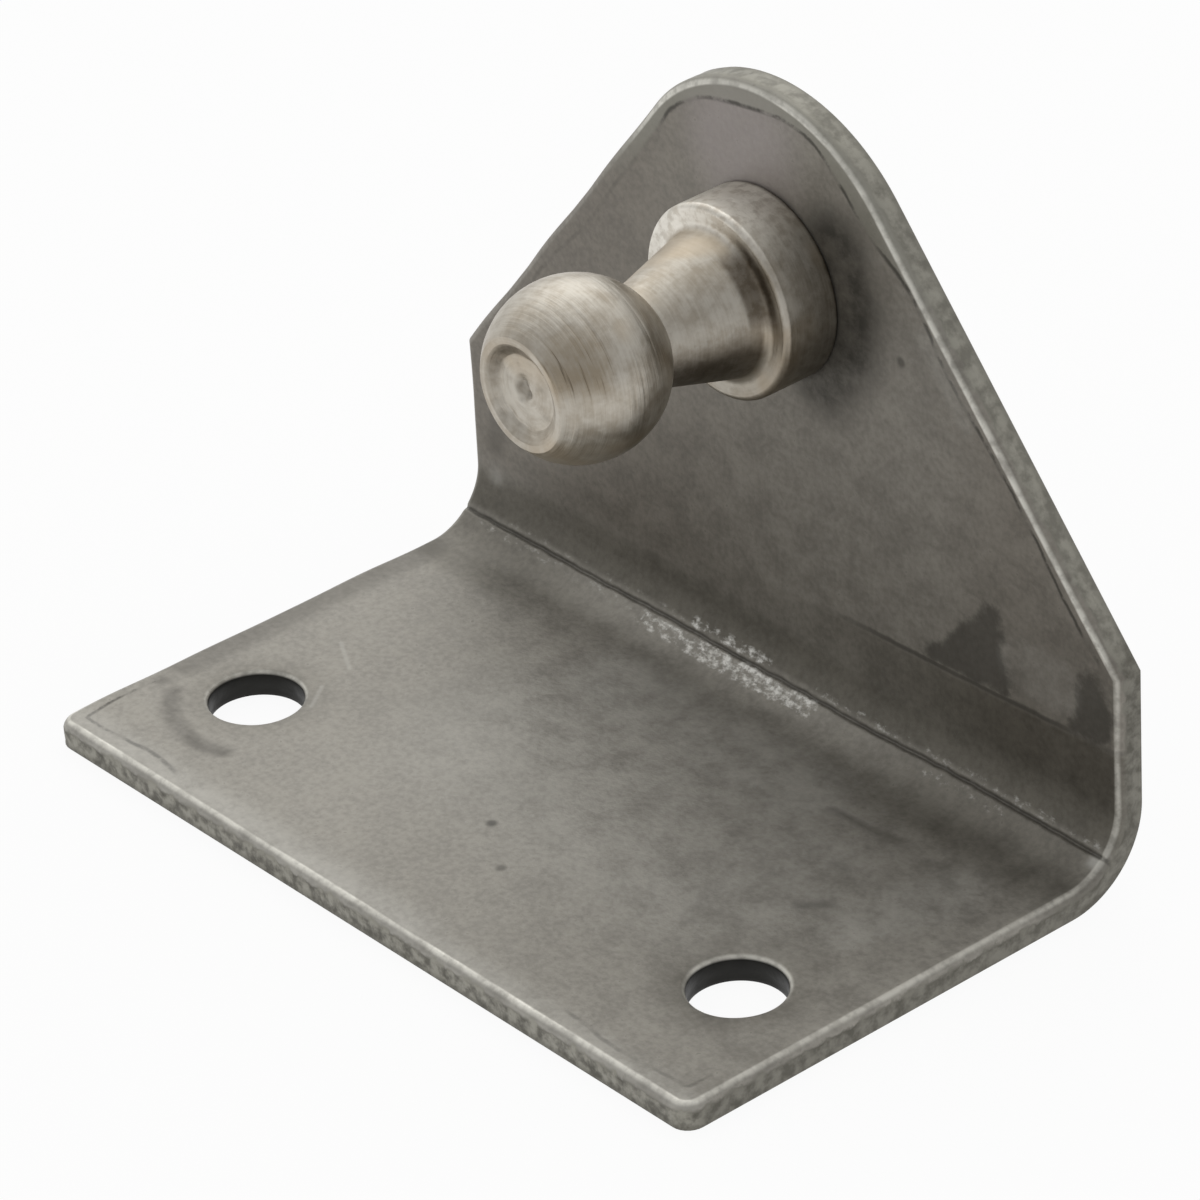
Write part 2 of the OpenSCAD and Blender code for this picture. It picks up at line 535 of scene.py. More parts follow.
@dataclass(frozen=True)
class SheetWearAndPaintedLight:
    """Where the sheet is stained, rubbed and galled, and where shade and light are painted on it, as marks at
    places (x, w) on the blank.

    It is kept with the plate as two vectors for each point: wear_and_painted_light, the shares of stain
    with painted shade, of rubbing with painted light, and of galling, and lines, the distance in mm from the
    dried rim of the oil film, the strength of that rim, and the distance in mm outside the stains with
    straight sides.
    """

    fold: Fold
    film_edge: float = 1.25
    film_shift: float = 0.5
    film_shift_from: Ramp = Ramp(6.0, 12.0)
    film_shift_rise: Ramp = Ramp(-2.0, 2.0)
    film_waves: Waves = Waves(0.15, 9.0, 40)

    def stains_and_shade(self) -> list[Mark]:
        """Dark stains by the left hole and edge and on the base, and oil with painted shade beside the
        collar.
        """
        hole_arc = ((-23.4, 6.2), (-22.4, 5.2), (-21.0, 4.4), (-19.2, 3.9), (-17.7, 3.8), (-16.5, 4.3))
        shade_and_oil_beside_collar = ((4.0, 49.6), (6.1, 52.0), (6.5, 54.9), (5.6, 57.6))
        return [
            Mark(hole_arc, 0.3, 0.7, 0.62),
            Mark(((-24.7, 6.5),), 0.3, 0.7, 0.6),
            Mark(((-25.2, 8.5), (-25.1, 17.0), (-25.2, 26.0)), 1.0, 1.3, 0.45),
            Mark(((11.1, 23.5), (13.6, 23.7), (15.9, 23.9)), 0.1, 0.4, 0.7),
            Mark(((18.3, 23.6), (19.3, 23.8)), 0.2, 0.5, 0.35),
            Mark(((15.1, 20.2), (15.9, 20.2)), 0.2, 0.4, 0.35),
            Mark(((16.7, 16.2), (17.6, 17.3)), 0.2, 0.5, 0.65),
            Mark(((12.2, 14.5), (13.4, 11.6)), 0.2, 0.9, 0.2),
            Mark(((-24.0, 34.2), (-23.3, 36.2)), 0.5, 1.0, 0.4),
            # painted shade of the collar's shadow and dark reflection on the upright, together with oil
            Mark(shade_and_oil_beside_collar, 1.6, 3.0, 1.0),
        ]

    def rubs_and_painted_light(self) -> list[Mark]:
        """Lighter rubbed places, with painted light among them: a highlight along the free edge, a sheen
        between the right hole and the bend, and lighter patches on the shaded base in front of the bend.
        """
        return [
            Mark(((12.2, 54.8), (13.3, 53.4), (15.0, 51.1)), 0.3, 0.9, 0.16),
            Mark(((-24.0, 32.1),), 0.4, 0.7, 0.25),
            Mark(((18.8, 38.0), (21.4, 38.0)), 2.6, 0.8, 0.12),
            # this mark and the next: a painted highlight along the free edge, stronger on the left
            Mark(((-25.0, 0.4), (4.0, 0.4)), 0.6, 2.2, 0.32),
            Mark(((4.0, 0.4), (25.0, 0.4)), 0.6, 1.4, 0.24),
            Mark(((25.4, self.fold.crease_w - 0.4),), 0.3, 0.5, 0.6),
            # painted sheen between the right hole and the bend
            Mark(((19.6, 16.6), (21.4, 22.0)), 2.6, 1.8, 0.2),
            # this mark and the next: painted light on the base in front of the bend, where the upright shades
            # it
            Mark(((-5.0, 17.0), (11.0, 16.0)), 7.0, 8.0, 0.2),
            Mark(((-7.0, 23.8), (9.0, 23.4)), 2.6, 3.0, 0.3),
        ]

    def galling(self) -> list[Mark]:
        """Strips beside the tool line of the bend where the tool tore bright flecks from the sheet."""
        below, above = self.fold.crease_w - 0.7, self.fold.crease_w + 0.5
        return [
            Mark(((-9.8, below), (-6.0, below)), 0.6, 0.4, 0.8),
            Mark(((-6.0, below), (3.6, below)), 0.8, 0.4, 1.0),
            Mark(((-6.5, above), (-0.6, above)), 0.3, 0.4, 0.75),
            Mark(((-24.0, below + 0.3), (-9.8, below + 0.3)), 0.2, 0.4, 0.35),
            Mark(((-22.0, above - 0.1), (-6.5, above - 0.1)), 0.15, 0.3, 0.3),
            Mark(((3.6, above - 0.1), (25.0, above - 0.1)), 0.2, 0.3, 0.45),
            Mark(((12.5, below + 0.2), (19.0, below + 0.2)), 0.3, 0.4, 0.4),
        ]

    def film_rims(self) -> list[Mark]:
        """Stretches of the outline along which the dried rim of the oil film shows."""
        return [
            Mark(((-24.7, 2.0), (-24.7, 5.6)), 1.6, 0.8, 1.0),
            Mark(((-24.2, 1.4), (-18.0, 1.4)), 1.6, 1.0, 1.0),
            Mark(((16.6, 1.4), (24.2, 1.4)), 1.6, 1.0, 0.6),
            Mark(((-8.0, 61.4), (-4.2, 63.1), (0.0, 63.8), (4.2, 63.1), (8.0, 61.4)), 1.6, 1.2, 1.0),
            Mark(((-24.2, 42.0), (-9.2, 60.4)), 1.6, 1.2, 0.35),
            Mark(((24.2, 42.0), (9.2, 60.4)), 1.6, 1.2, 1.0),
        ]

    def straight_stains(self) -> list[StraightStain]:
        """Two dark stains that stand on the tool line across the upright."""
        return [
            StraightStain(((11.2, 35.4), (17.9, 35.5), (17.3, 40.9), (16.4, 40.7))),
            StraightStain(((22.2, 35.5), (25.4, 35.6), (25.4, 38.4), (24.2, 40.2), (22.9, 39.0))),
        ]

    def store(self, plate: bpy.types.Object, flat: Array, edge: Array) -> None:
        """Keeps the wear and the painted shade and light with the plate.

        Args:
            plate: The plate's object.
            flat: Places (x, w) of its points on the blank.
            edge: Their distance from the outline.
        """
        risen = self.film_shift_rise.moved(self.fold.kink[1])
        closer = self.film_shift * self.film_shift_from.share(flat[:, 0]) * risen.share(flat[:, 1])
        rim = edge - self.film_edge + closer - self.film_waves.at(flat)
        outside = np.min([stain_and_shade.outside(flat) for stain_and_shade in self.straight_stains()], axis=0)
        layers = [strongest(marks, flat) for marks in (self.stains_and_shade(), self.rubs_and_painted_light(), self.galling())]
        store_vector(plate, "wear_and_painted_light", np.stack(layers, axis=-1))
        store_vector(plate, "lines", np.stack([rim, strongest(self.film_rims(), flat), outside], axis=-1))


@dataclass(frozen=True)
class ScoredLine:
    """The line that a tool scored across the upright, at w = start_w + rise x on the blank."""

    start_w: float = 35.0
    rise: float = 0.028

    def above(self, graph: Graph) -> Socket:
        """Distance above the line: w - start_w - rise x."""
        x, w, _ = graph.kept("blank")
        return graph.math("SUBTRACT", w, graph.math("MULTIPLY_ADD", x, self.rise, self.start_w))


@dataclass(frozen=True)
class MillFace:
    """Colour of the sheet's faces: cloudy mill grey, browner on the upright, and grimy about the bend, where
    shade is also painted in its hollow and at its foot.

    The ramps are over mm on the blank; olive_rise starts at the kinks of the upright's sides.
    """

    fold: Fold
    scored: ScoredLine = ScoredLine()
    light: Color = (0.40, 0.38, 0.338)
    dark: Color = (0.255, 0.241, 0.213)
    oxide: Color = (0.70, 0.67, 0.645)
    rose: Color = (0.43, 0.385, 0.38)
    olive: Color = (0.31, 0.305, 0.26)
    grime_and_shade: Color = (0.45, 0.44, 0.405)
    clouds: Ramp = Ramp(0.29, 0.57)
    oxide_rise: float = 2.0
    oxide_sides: tuple[Ramp, Ramp] = (Ramp(-14.0, 4.0, 0.9, 0.38), Ramp(11.0, 19.0, 0.38, 0.8))
    rose_place: Point = (-1.5, 34.0)
    rose_size: float = 4.0
    rose_share: float = 0.5
    olive_film: Ramp = Ramp(-0.2, 0.1, 0.6, 0.0)
    olive_rise: Ramp = Ramp(14.0, 20.0)
    band_grime: Zone = ((Measure.CREASE, Ramp(0.2, 0.6)), (Measure.ALONG, Ramp(-4.0, 18.0, 0.1, 0.8)))
    band_top: Ramp = Ramp(-0.4, 0.1, 1.0, 0.0)
    # painted shade in the hollow of the bend, with grime
    bend_shade_and_grime: Zone = (
        (Measure.CREASE, Ramp(0.0, 0.6, 0.0, 0.85)), (Measure.CREASE, Ramp(1.8, 3.6, 1.0, 0.0)),
    )
    # painted shade on the base at the foot of the bend, strongest towards both ends, with grime
    foot_shade_and_grime: Zone = ((Measure.CREASE, Ramp(-5.5, -3.6)), (Measure.CREASE, Ramp(0.0, 0.6, 1.0, 0.0)))
    foot_ends: tuple[Ramp, Ramp] = (Ramp(-20.0, -12.0, 0.5, 0.05), Ramp(4.0, 17.0, 0.05, 0.5))
    hole_grime: Zone = ((Measure.HOLE, Ramp(0.1, 2.4, 0.25, 0.0)),)

    def color(self, graph: Graph, tone: Socket, front: Socket) -> Socket:
        """Lays the tones over each other.

        Args:
            graph: The material's graph.
            tone: Cloudiness from 0 to 1.
            front: Mask of the stud's side.

        Returns:
            The colour.
        """
        fold = self.fold
        color = graph.mix(graph.ramp(tone, self.clouds), self.dark, self.light)
        risen = Ramp(fold.crease_w, fold.bend_end + self.oxide_rise)
        browned = [graph.zone((Measure.UP, risen), (Measure.ALONG, side)) for side in self.oxide_sides]
        color = graph.mix(graph.largest(*browned), color, self.oxide, "MULTIPLY")
        spot = Mark((fold.on_upright(*self.rose_place),), self.rose_size, self.rose_size, self.rose_share)
        rosy = graph.mark(graph.attribute("blank"), spot)
        color = graph.mix(graph.product(rosy, front), color, self.rose)
        high_up = self.olive_rise.moved(fold.kink[1])
        filmed = graph.zone((Measure.FILM, self.olive_film), (Measure.UP, high_up))
        color = graph.mix(graph.product(filmed, front), color, self.olive)
        below_line = graph.ramp(self.scored.above(graph), self.band_top)
        band = graph.product(graph.zone(*self.band_grime), below_line)
        feet = [graph.zone(*self.foot_shade_and_grime, (Measure.ALONG, end)) for end in self.foot_ends]
        # grime in the band below the scored line and round the holes, and painted shade in and at the foot of
        # the bend
        dirt_and_shade_share = graph.largest(band, *feet, graph.zone(*self.bend_shade_and_grime), graph.zone(*self.hole_grime))
        return graph.mix(graph.product(dirt_and_shade_share, front), color, self.grime_and_shade, "MULTIPLY")


@dataclass(frozen=True)
class DarkMarks:
    """Stains with the painted shade beside the collar, the rim of the oil film, the scored line,
    straight-sided blots, specks and pits of the sheet.

    A wander is how far, in mm, the mottled noise pushes a line aside; breaks are ramps over that noise.
    """

    scored: ScoredLine = ScoredLine()
    stain_breaks: Ramp = Ramp(0.3, 0.65, 0.5, 1.0)
    film_line: Ramp = Ramp(0.03, 0.2, 0.85, 0.0)
    film_breaks: Ramp = Ramp(0.4, 0.56, 0.12, 1.0)
    film_wander: float = 0.5
    scored_line: Ramp = Ramp(0.05, 0.25, 1.0, 0.0)
    scored_start: Ramp = Ramp(2.0, 10.0, 0.0, 0.75)
    scored_end: Ramp = Ramp(20.0, 24.0, 0.75, 0.4)
    scored_wander: float = 0.3
    blot: Ramp = Ramp(-0.4, 0.35, 0.7, 0.0)
    blot_wander: float = 2.2
    specks: tuple[tuple[Point, float], ...] = (((-0.7, 10.0), 0.9), ((2.9, 7.6), 0.6), ((10.3, 52.8), 0.6))
    speck_width: float = 0.26
    speck_soft: float = 0.32
    pits: Ramp = Ramp(0.66, 0.78, 0.0, 0.3)

    def mask(self, graph: Graph, mottle: Socket, grain: Socket, front: Socket) -> Socket:
        """Joins all the marks.

        Args:
            graph: The material's graph.
            mottle: Noise that breaks the marks up.
            grain: Finer noise for the pits.
            front: Mask of the stud's side, where all but the pits lie.

        Returns:
            The mask.
        """
        stain_and_shade_share, _, _ = graph.kept("wear_and_painted_light")
        rim, shown, outside = graph.kept("lines")
        wander = graph.math("SUBTRACT", mottle, NOISE_MEAN)
        # stains, together with the painted shade beside the collar
        stains_and_shade = graph.product(stain_and_shade_share, graph.ramp(mottle, self.stain_breaks))
        rim = graph.math("ABSOLUTE", graph.weighted((rim, 1.0), (wander, self.film_wander)))
        film = graph.product(graph.ramp(rim, self.film_line), shown, graph.ramp(mottle, self.film_breaks))
        above = graph.weighted((self.scored.above(graph), 1.0), (wander, self.scored_wander))
        ends = [graph.zone((Measure.ALONG, end)) for end in (self.scored_start, self.scored_end)]
        line = graph.ramp(graph.math("ABSOLUTE", above), self.scored_line)
        line = graph.product(line, graph.math("MINIMUM", *ends))
        blot = graph.ramp(graph.weighted((outside, 1.0), (wander, self.blot_wander)), self.blot)
        spots = [
            graph.mark(graph.attribute("blank"), Mark((place,), self.speck_width, self.speck_soft, share))
            for place, share in self.specks
        ]
        marks = graph.largest(stains_and_shade, film, line, blot, *spots)
        return graph.largest(graph.product(marks, front), graph.ramp(grain, self.pits))


@dataclass(frozen=True)
class ShearedEdge:
    """The cut edge of the sheet: bright where it is rolled over, as burnished metal lightened into a painted
    highlight line, with a rough grey break below.

    The roll is dull on the left and along the right side. The break is darker along its foot and on the
    straight sides, and lighter on the slants, which start at slant_turn about the kinks.
    """

    fold: Fold
    # burnished metal of the rolled edge, lightened further as a painted highlight line
    rolled: Color = (0.80, 0.78, 0.71)
    break_light: Color = (0.36, 0.347, 0.30)
    break_dark: Color = (0.125, 0.118, 0.097)
    # painted shade inside the holes, near black
    hole_wall_shade: Color = (0.016, 0.0155, 0.0135)
    roll_line: Zone = (
        (Measure.EDGE, Ramp(0.36, 0.5, 0.9, 0.0)), (Measure.DEPTH, Ramp(0.08, 0.24, 1.0, 0.15)),
    )
    hole_ring: Zone = ((Measure.HOLE, Ramp(0.1, 0.35, 0.75, 0.0)), (Measure.DEPTH, Ramp(0.0, 0.12)))
    dull_sides: tuple[Ramp, Ramp] = (Ramp(-12.0, -8.0, 0.85, 0.0), Ramp(24.8, 25.4, 0.0, 0.4))
    dull_from: Ramp = Ramp(1.0, 3.0)
    roll_clouds: Ramp = Ramp(0.36, 0.56, 0.7, 1.0)
    roll_breaks: Ramp = Ramp(0.36, 0.58, 0.6, 1.0)
    break_ragged: float = 0.9
    break_start: Ramp = Ramp(0.72, 0.96)
    on_cut: Ramp = Ramp(0.06, 0.14, 1.0, 0.0)
    break_tone: Ramp = Ramp(0.32, 0.66)
    side_shade: Ramp = Ramp(0.4, 1.4, 0.0, 0.5)
    foot_shade: Ramp = Ramp(1.1, 1.6, 0.0, 0.6)
    slant_turn: Ramp = Ramp(-1.0, 3.0)
    slant_light: float = 0.4
    hole_walls: Zone = ((Measure.DEPTH, Ramp(0.16, 0.30)), (Measure.HOLE, Ramp(0.04, 0.12, 1.0, 0.0)))

    def roll(self, graph: Graph, mottle: Socket, sheared: Socket) -> Socket:
        """Mask of the rolled edge, round the outline and the fixing holes.

        Args:
            graph: The material's graph.
            mottle: Noise of the sheet.
            sheared: Noise of the break.

        Returns:
            The mask.
        """
        dull = [graph.zone((Measure.UP, self.dull_from), (Measure.ALONG, side)) for side in self.dull_sides]
        outer = graph.product(graph.zone(*self.roll_line), graph.inverse(graph.largest(*dull)))
        patchy = graph.product(graph.ramp(mottle, self.roll_clouds), graph.ramp(sheared, self.roll_breaks))
        return graph.product(graph.largest(outer, graph.zone(*self.hole_ring)), patchy)

    def color(self, graph: Graph, face: Socket, roll: Socket, sheared: Socket) -> Socket:
        """Lays the rolled edge with its painted highlight, the break and the painted shade on the walls of
        the holes over the faces' colour.

        Args:
            graph: The material's graph.
            face: Colour of the faces.
            roll: Mask of the rolled edge.
            sheared: Noise of the break.

        Returns:
            The colour of the whole sheet.
        """
        color = graph.mix(roll, face, self.rolled)
        ragged = graph.weighted((graph.measured(Measure.DEPTH), 1.0), (sheared, self.break_ragged))
        broken = graph.product(graph.ramp(ragged, self.break_start), graph.zone((Measure.EDGE, self.on_cut)))
        grey = graph.mix(graph.ramp(sheared, self.break_tone), self.break_dark, self.break_light)
        slanted = graph.zone((Measure.UP, self.slant_turn.moved(self.fold.kink[1])))
        sides = graph.product(graph.zone((Measure.UP, self.side_shade)), graph.inverse(slanted))
        shade = graph.largest(sides, graph.zone((Measure.DEPTH, self.foot_shade)))
        grey = graph.mix(shade, grey, self.break_dark)
        grey = graph.mix(graph.product(slanted, self.slant_light), grey, self.break_light)
        color = graph.mix(broken, color, grey)
        # painted shade on the walls of the holes
        return graph.mix(graph.zone(*self.hole_walls), color, self.hole_wall_shade)


@dataclass(frozen=True)
class PlateFinish:
    """Raw rolled steel sheet with mill stains, handling marks, a galled bend, sheared edges, and painted
    shade and light.

    It reads four vectors of the plate: blank, the place (x, w, n); margin, the distances in mm from the
    outline, from the nearest fixing hole and, with a sign, from the tool line along the bend; and the
    wear_and_painted_light and lines of SheetWearAndPaintedLight. The noises are over mm. Marks fade between
    two shares of the sheet's thickness.
    """

    fold: Fold
    # dark colour of the stains, also of the painted shade beside the collar and in the tool line's groove
    stain_and_shade: Color = (0.07, 0.065, 0.055)
    # colour of the rubs and scratches, and of the painted highlight, sheen and light among the rubs
    bright: Color = (0.66, 0.65, 0.61)
    fleck: Color = (0.86, 0.85, 0.81)
    metallic: float = 0.62
    front_full: float = 0.5
    front_none: float = 0.9
    cloud: Noise = Noise(0.09, 2.0)
    mottle: Noise = Noise(0.45, 5.0, 0.68)
    grain: Noise = Noise(2.6, 2.0, 0.5)
    sheared: Noise = Noise(1.3, 3.0, 0.58)
    tone_weights: Place = (0.16, 0.45, 0.25)
    rub_breaks: Ramp = Ramp(0.3, 0.65, 0.4, 1.0)
    scratches: tuple[tuple[Point, Point], ...] = (
        ((-20.7, 15.9), (-18.2, 14.5)), ((-17.9, 12.3), (-16.7, 10.6)),
    )
    scratch_width: float = 0.04
    scratch_soft: float = 0.2
    scratch_share: float = 0.18
    groove_line: Ramp = Ramp(0.05, 0.17, 0.75, 0.0)
    groove_breaks: Ramp = Ramp(0.3, 0.6, 0.6, 1.0)
    torn: Noise = Noise(1.5, 4.0, 0.66)
    torn_stretch: Place = (1.0, 1.4, 1.0)
    torn_weights: Place = (1.0, 0.14, 0.3)
    fleck_edge: Ramp = Ramp(0.71, 0.96)
    fleck_zone: Ramp = Ramp(0.0, 0.8)
    roughness: Ramp = Ramp(0.3, 0.7, 0.5, 0.6)
    roll_polish: float = 0.2
    relief_weights: Point = (0.6, 1.0)
    relief_mm: float = 0.03

    def light_marks(self, graph: Graph, color: Socket, mottle: Socket, front: Socket) -> Socket:
        """Lays the rubbed places with the painted light among them, the scratches, the painted shade in the
        groove of the tool line and the torn flecks over a colour.

        Args:
            graph: The material's graph.
            color: Colour below them.
            mottle: Noise that breaks them up.
            front: Mask of the stud's side, where they lie.

        Returns:
            The colour.
        """
        blank = graph.attribute("blank")
        _, lightened, galled = graph.kept("wear_and_painted_light")
        scratched = [
            graph.mark(blank, Mark(ends, self.scratch_width, self.scratch_soft, self.scratch_share))
            for ends in self.scratches
        ]
        # rubbed places together with the painted highlight, sheen and light
        lightened = graph.product(lightened, graph.ramp(mottle, self.rub_breaks))
        color = graph.mix(graph.product(graph.largest(lightened, *scratched), front), color, self.bright)
        # painted shade along the groove of the tool line
        groove = graph.ramp(graph.math("ABSOLUTE", graph.measured(Measure.CREASE)), self.groove_line)
        groove = graph.product(groove, graph.ramp(mottle, self.groove_breaks), front)
        color = graph.mix(groove, color, self.stain_and_shade)
        torn = graph.noise(graph.scaled(blank, self.torn_stretch), self.torn)
        torn = graph.weighted(*zip((torn, galled, mottle), self.torn_weights))
        flecks = graph.product(graph.ramp(torn, self.fleck_edge), graph.ramp(galled, self.fleck_zone), front)
        return graph.mix(flecks, color, self.fleck)

    def build(self) -> bpy.types.Material:
        """Makes the material.

        Returns:
            The plate's material.
        """
        material, graph = new_material("raw_sheet_steel")
        blank = graph.attribute("blank")
        noises = (self.cloud, self.mottle, self.grain, self.sheared)
        cloud, mottle, grain, sheared = (graph.noise(blank, noise) for noise in noises)
        full, none = (share * self.fold.sheet_t for share in (self.front_full, self.front_none))
        front = graph.zone((Measure.DEPTH, Ramp(full, none, 1.0, 0.0)))
        tone = graph.weighted(*zip((cloud, mottle, grain), self.tone_weights))
        color = MillFace(self.fold).color(graph, tone, front)
        # dark marks, among them the painted shade beside the collar
        color = graph.mix(DarkMarks().mask(graph, mottle, grain, front), color, self.stain_and_shade)
        color = self.light_marks(graph, color, mottle, front)
        edge = ShearedEdge(self.fold)
        roll = edge.roll(graph, mottle, sheared)
        color = edge.color(graph, color, roll, sheared)
        roughness = graph.ramp(mottle, self.roughness)
        roughness = graph.math("SUBTRACT", roughness, graph.product(roll, self.roll_polish))
        height = graph.weighted(*zip((grain, mottle), self.relief_weights))
        steel_shader(graph, color, roughness, height, self.relief_mm, self.metallic)
        return material


@dataclass(frozen=True)
class TurnedFinish:
    """Turned steel of the stud: warm silver with tool rings on the ball, a dark patch on the ball that is
    tarnish and a painted reflection, dirt in the torn nose, painted shade, shadows and reflections, and a
    painted highlight on the collar.

    It reads three vectors of the stud: turned, the length along the half section in mm and the cosine and
    sine of the angle round the axis; soiled_and_painted_light, the shares of the dark patch and of the dirt
    with painted shade; and rings_and_highlight, the shares of tool rings and of the painted highlight. The
    rings are over the stretched first vector, the other noises over m.
    """

    light: Color = (0.60, 0.565, 0.50)
    dark: Color = (0.40, 0.355, 0.29)
    # colour of the painted highlight on the collar's upper left
    painted_highlight: Color = (0.90, 0.87, 0.80)
    tan: Color = (0.50, 0.42, 0.315)
    # brown of the ball's dark patch: tarnish and a painted reflection of the dark surroundings on the
    # camera's side
    tarnish_and_reflection: Color = (0.44, 0.37, 0.275)
    # dark colour of the dirt of the torn nose, of the painted shade, shadows and reflections, and of the
    # scored rings
    dirt_and_shade: Color = (0.115, 0.092, 0.066)
    metallic: float = 1.0
    ring_stretch: Place = (6.0, 0.9, 0.9)
    rings: Noise = Noise(1.0, 3.0, 0.6)
    blotch: Noise = Noise(0.45 / MM, 4.0, 0.65)
    speck: Noise = Noise(1.6 / MM, 3.0, 0.6)
    tan_cloud: Noise = Noise(0.2 / MM, 2.0)
    tone_weights: Place = (0.2, 0.55, 0.25)
    tone: Ramp = Ramp(0.36, 0.62)
    tan_share: Ramp = Ramp(0.48, 0.68, 0.0, 0.65)
    highlight_breaks: Ramp = Ramp(0.36, 0.58, 0.5, 1.0)
    patch_weights: Point = (0.6, 0.4)
    dark_patch_breaks: Ramp = Ramp(0.36, 0.62, 1.0, 0.45)
    scored_rings: Ramp = Ramp(0.34, 0.44, 0.7, 0.0)
    dirt_breaks: Ramp = Ramp(0.35, 0.6, 1.0, 0.85)
    roughness: Ramp = Ramp(0.3, 0.7, 0.42, 0.54)
    ring_polish: float = 0.06
    relief_weights: Place = (1.0, 1.0, 0.4)
    relief_mm: float = 0.03

    def build(self) -> bpy.types.Material:
        """Makes the material.

        Returns:
            The stud's material.
        """
        material, graph = new_material("turned_steel")
        tarnish_and_reflection_share, dirt_and_shade_share, _ = graph.kept("soiled_and_painted_light")
        ringed, lightened, _ = graph.kept("rings_and_highlight")
        solid = graph.add("ShaderNodeTexCoord").outputs["Object"]
        rings = graph.noise(graph.scaled(graph.attribute("turned"), self.ring_stretch), self.rings)
        noises = (self.blotch, self.speck, self.tan_cloud)
        blotch, speck, tan_cloud = (graph.noise(solid, noise) for noise in noises)
        tone = graph.weighted(*zip((rings, blotch, speck), self.tone_weights))
        color = graph.mix(graph.ramp(tone, self.tone), self.dark, self.light)
        color = graph.mix(graph.ramp(tan_cloud, self.tan_share), color, self.tan)
        # painted highlight on the collar's lit upper left
        color = graph.mix(graph.product(lightened, graph.ramp(speck, self.highlight_breaks)), color, self.painted_highlight)
        # dark patch on the ball: tarnish and a painted reflection
        patchy = graph.weighted(*zip((blotch, rings), self.patch_weights))
        patchy = graph.product(tarnish_and_reflection_share, graph.ramp(patchy, self.dark_patch_breaks))
        color = graph.mix(patchy, color, self.tarnish_and_reflection)
        scored = graph.product(graph.ramp(rings, self.scored_rings), tarnish_and_reflection_share)
        # dirt with painted shade, shadows and reflections
        soiled_and_painted_light = graph.product(dirt_and_shade_share, graph.ramp(speck, self.dirt_breaks))
        color = graph.mix(graph.largest(soiled_and_painted_light, scored), color, self.dirt_and_shade)
        roughness = graph.ramp(blotch, self.roughness)
        roughness = graph.math("SUBTRACT", roughness, graph.product(ringed, self.ring_polish))
        height = graph.weighted(*zip((graph.product(rings, ringed), blotch, speck), self.relief_weights))
        steel_shader(graph, color, roughness, height, self.relief_mm, self.metallic)
        return material


def roll_profile(width: float, samples: int = 9) -> Array:
    """Section of a rolled edge, from the face to the cut, as (inset from the cut, depth below the face).

    An arc of radius 1.275 width about a centre 1.25 width in from both, so it leaves each at a slight angle.
    """
    reach, radius = 1.25 * width, 1.275 * width
    end = math.asin(math.sqrt(radius**2 - reach**2) / radius)
    angle = np.linspace(-math.pi / 2 - end, -math.pi + end, samples)
    return np.stack([reach + radius * np.cos(angle), reach + radius * np.sin(angle)], axis=-1)


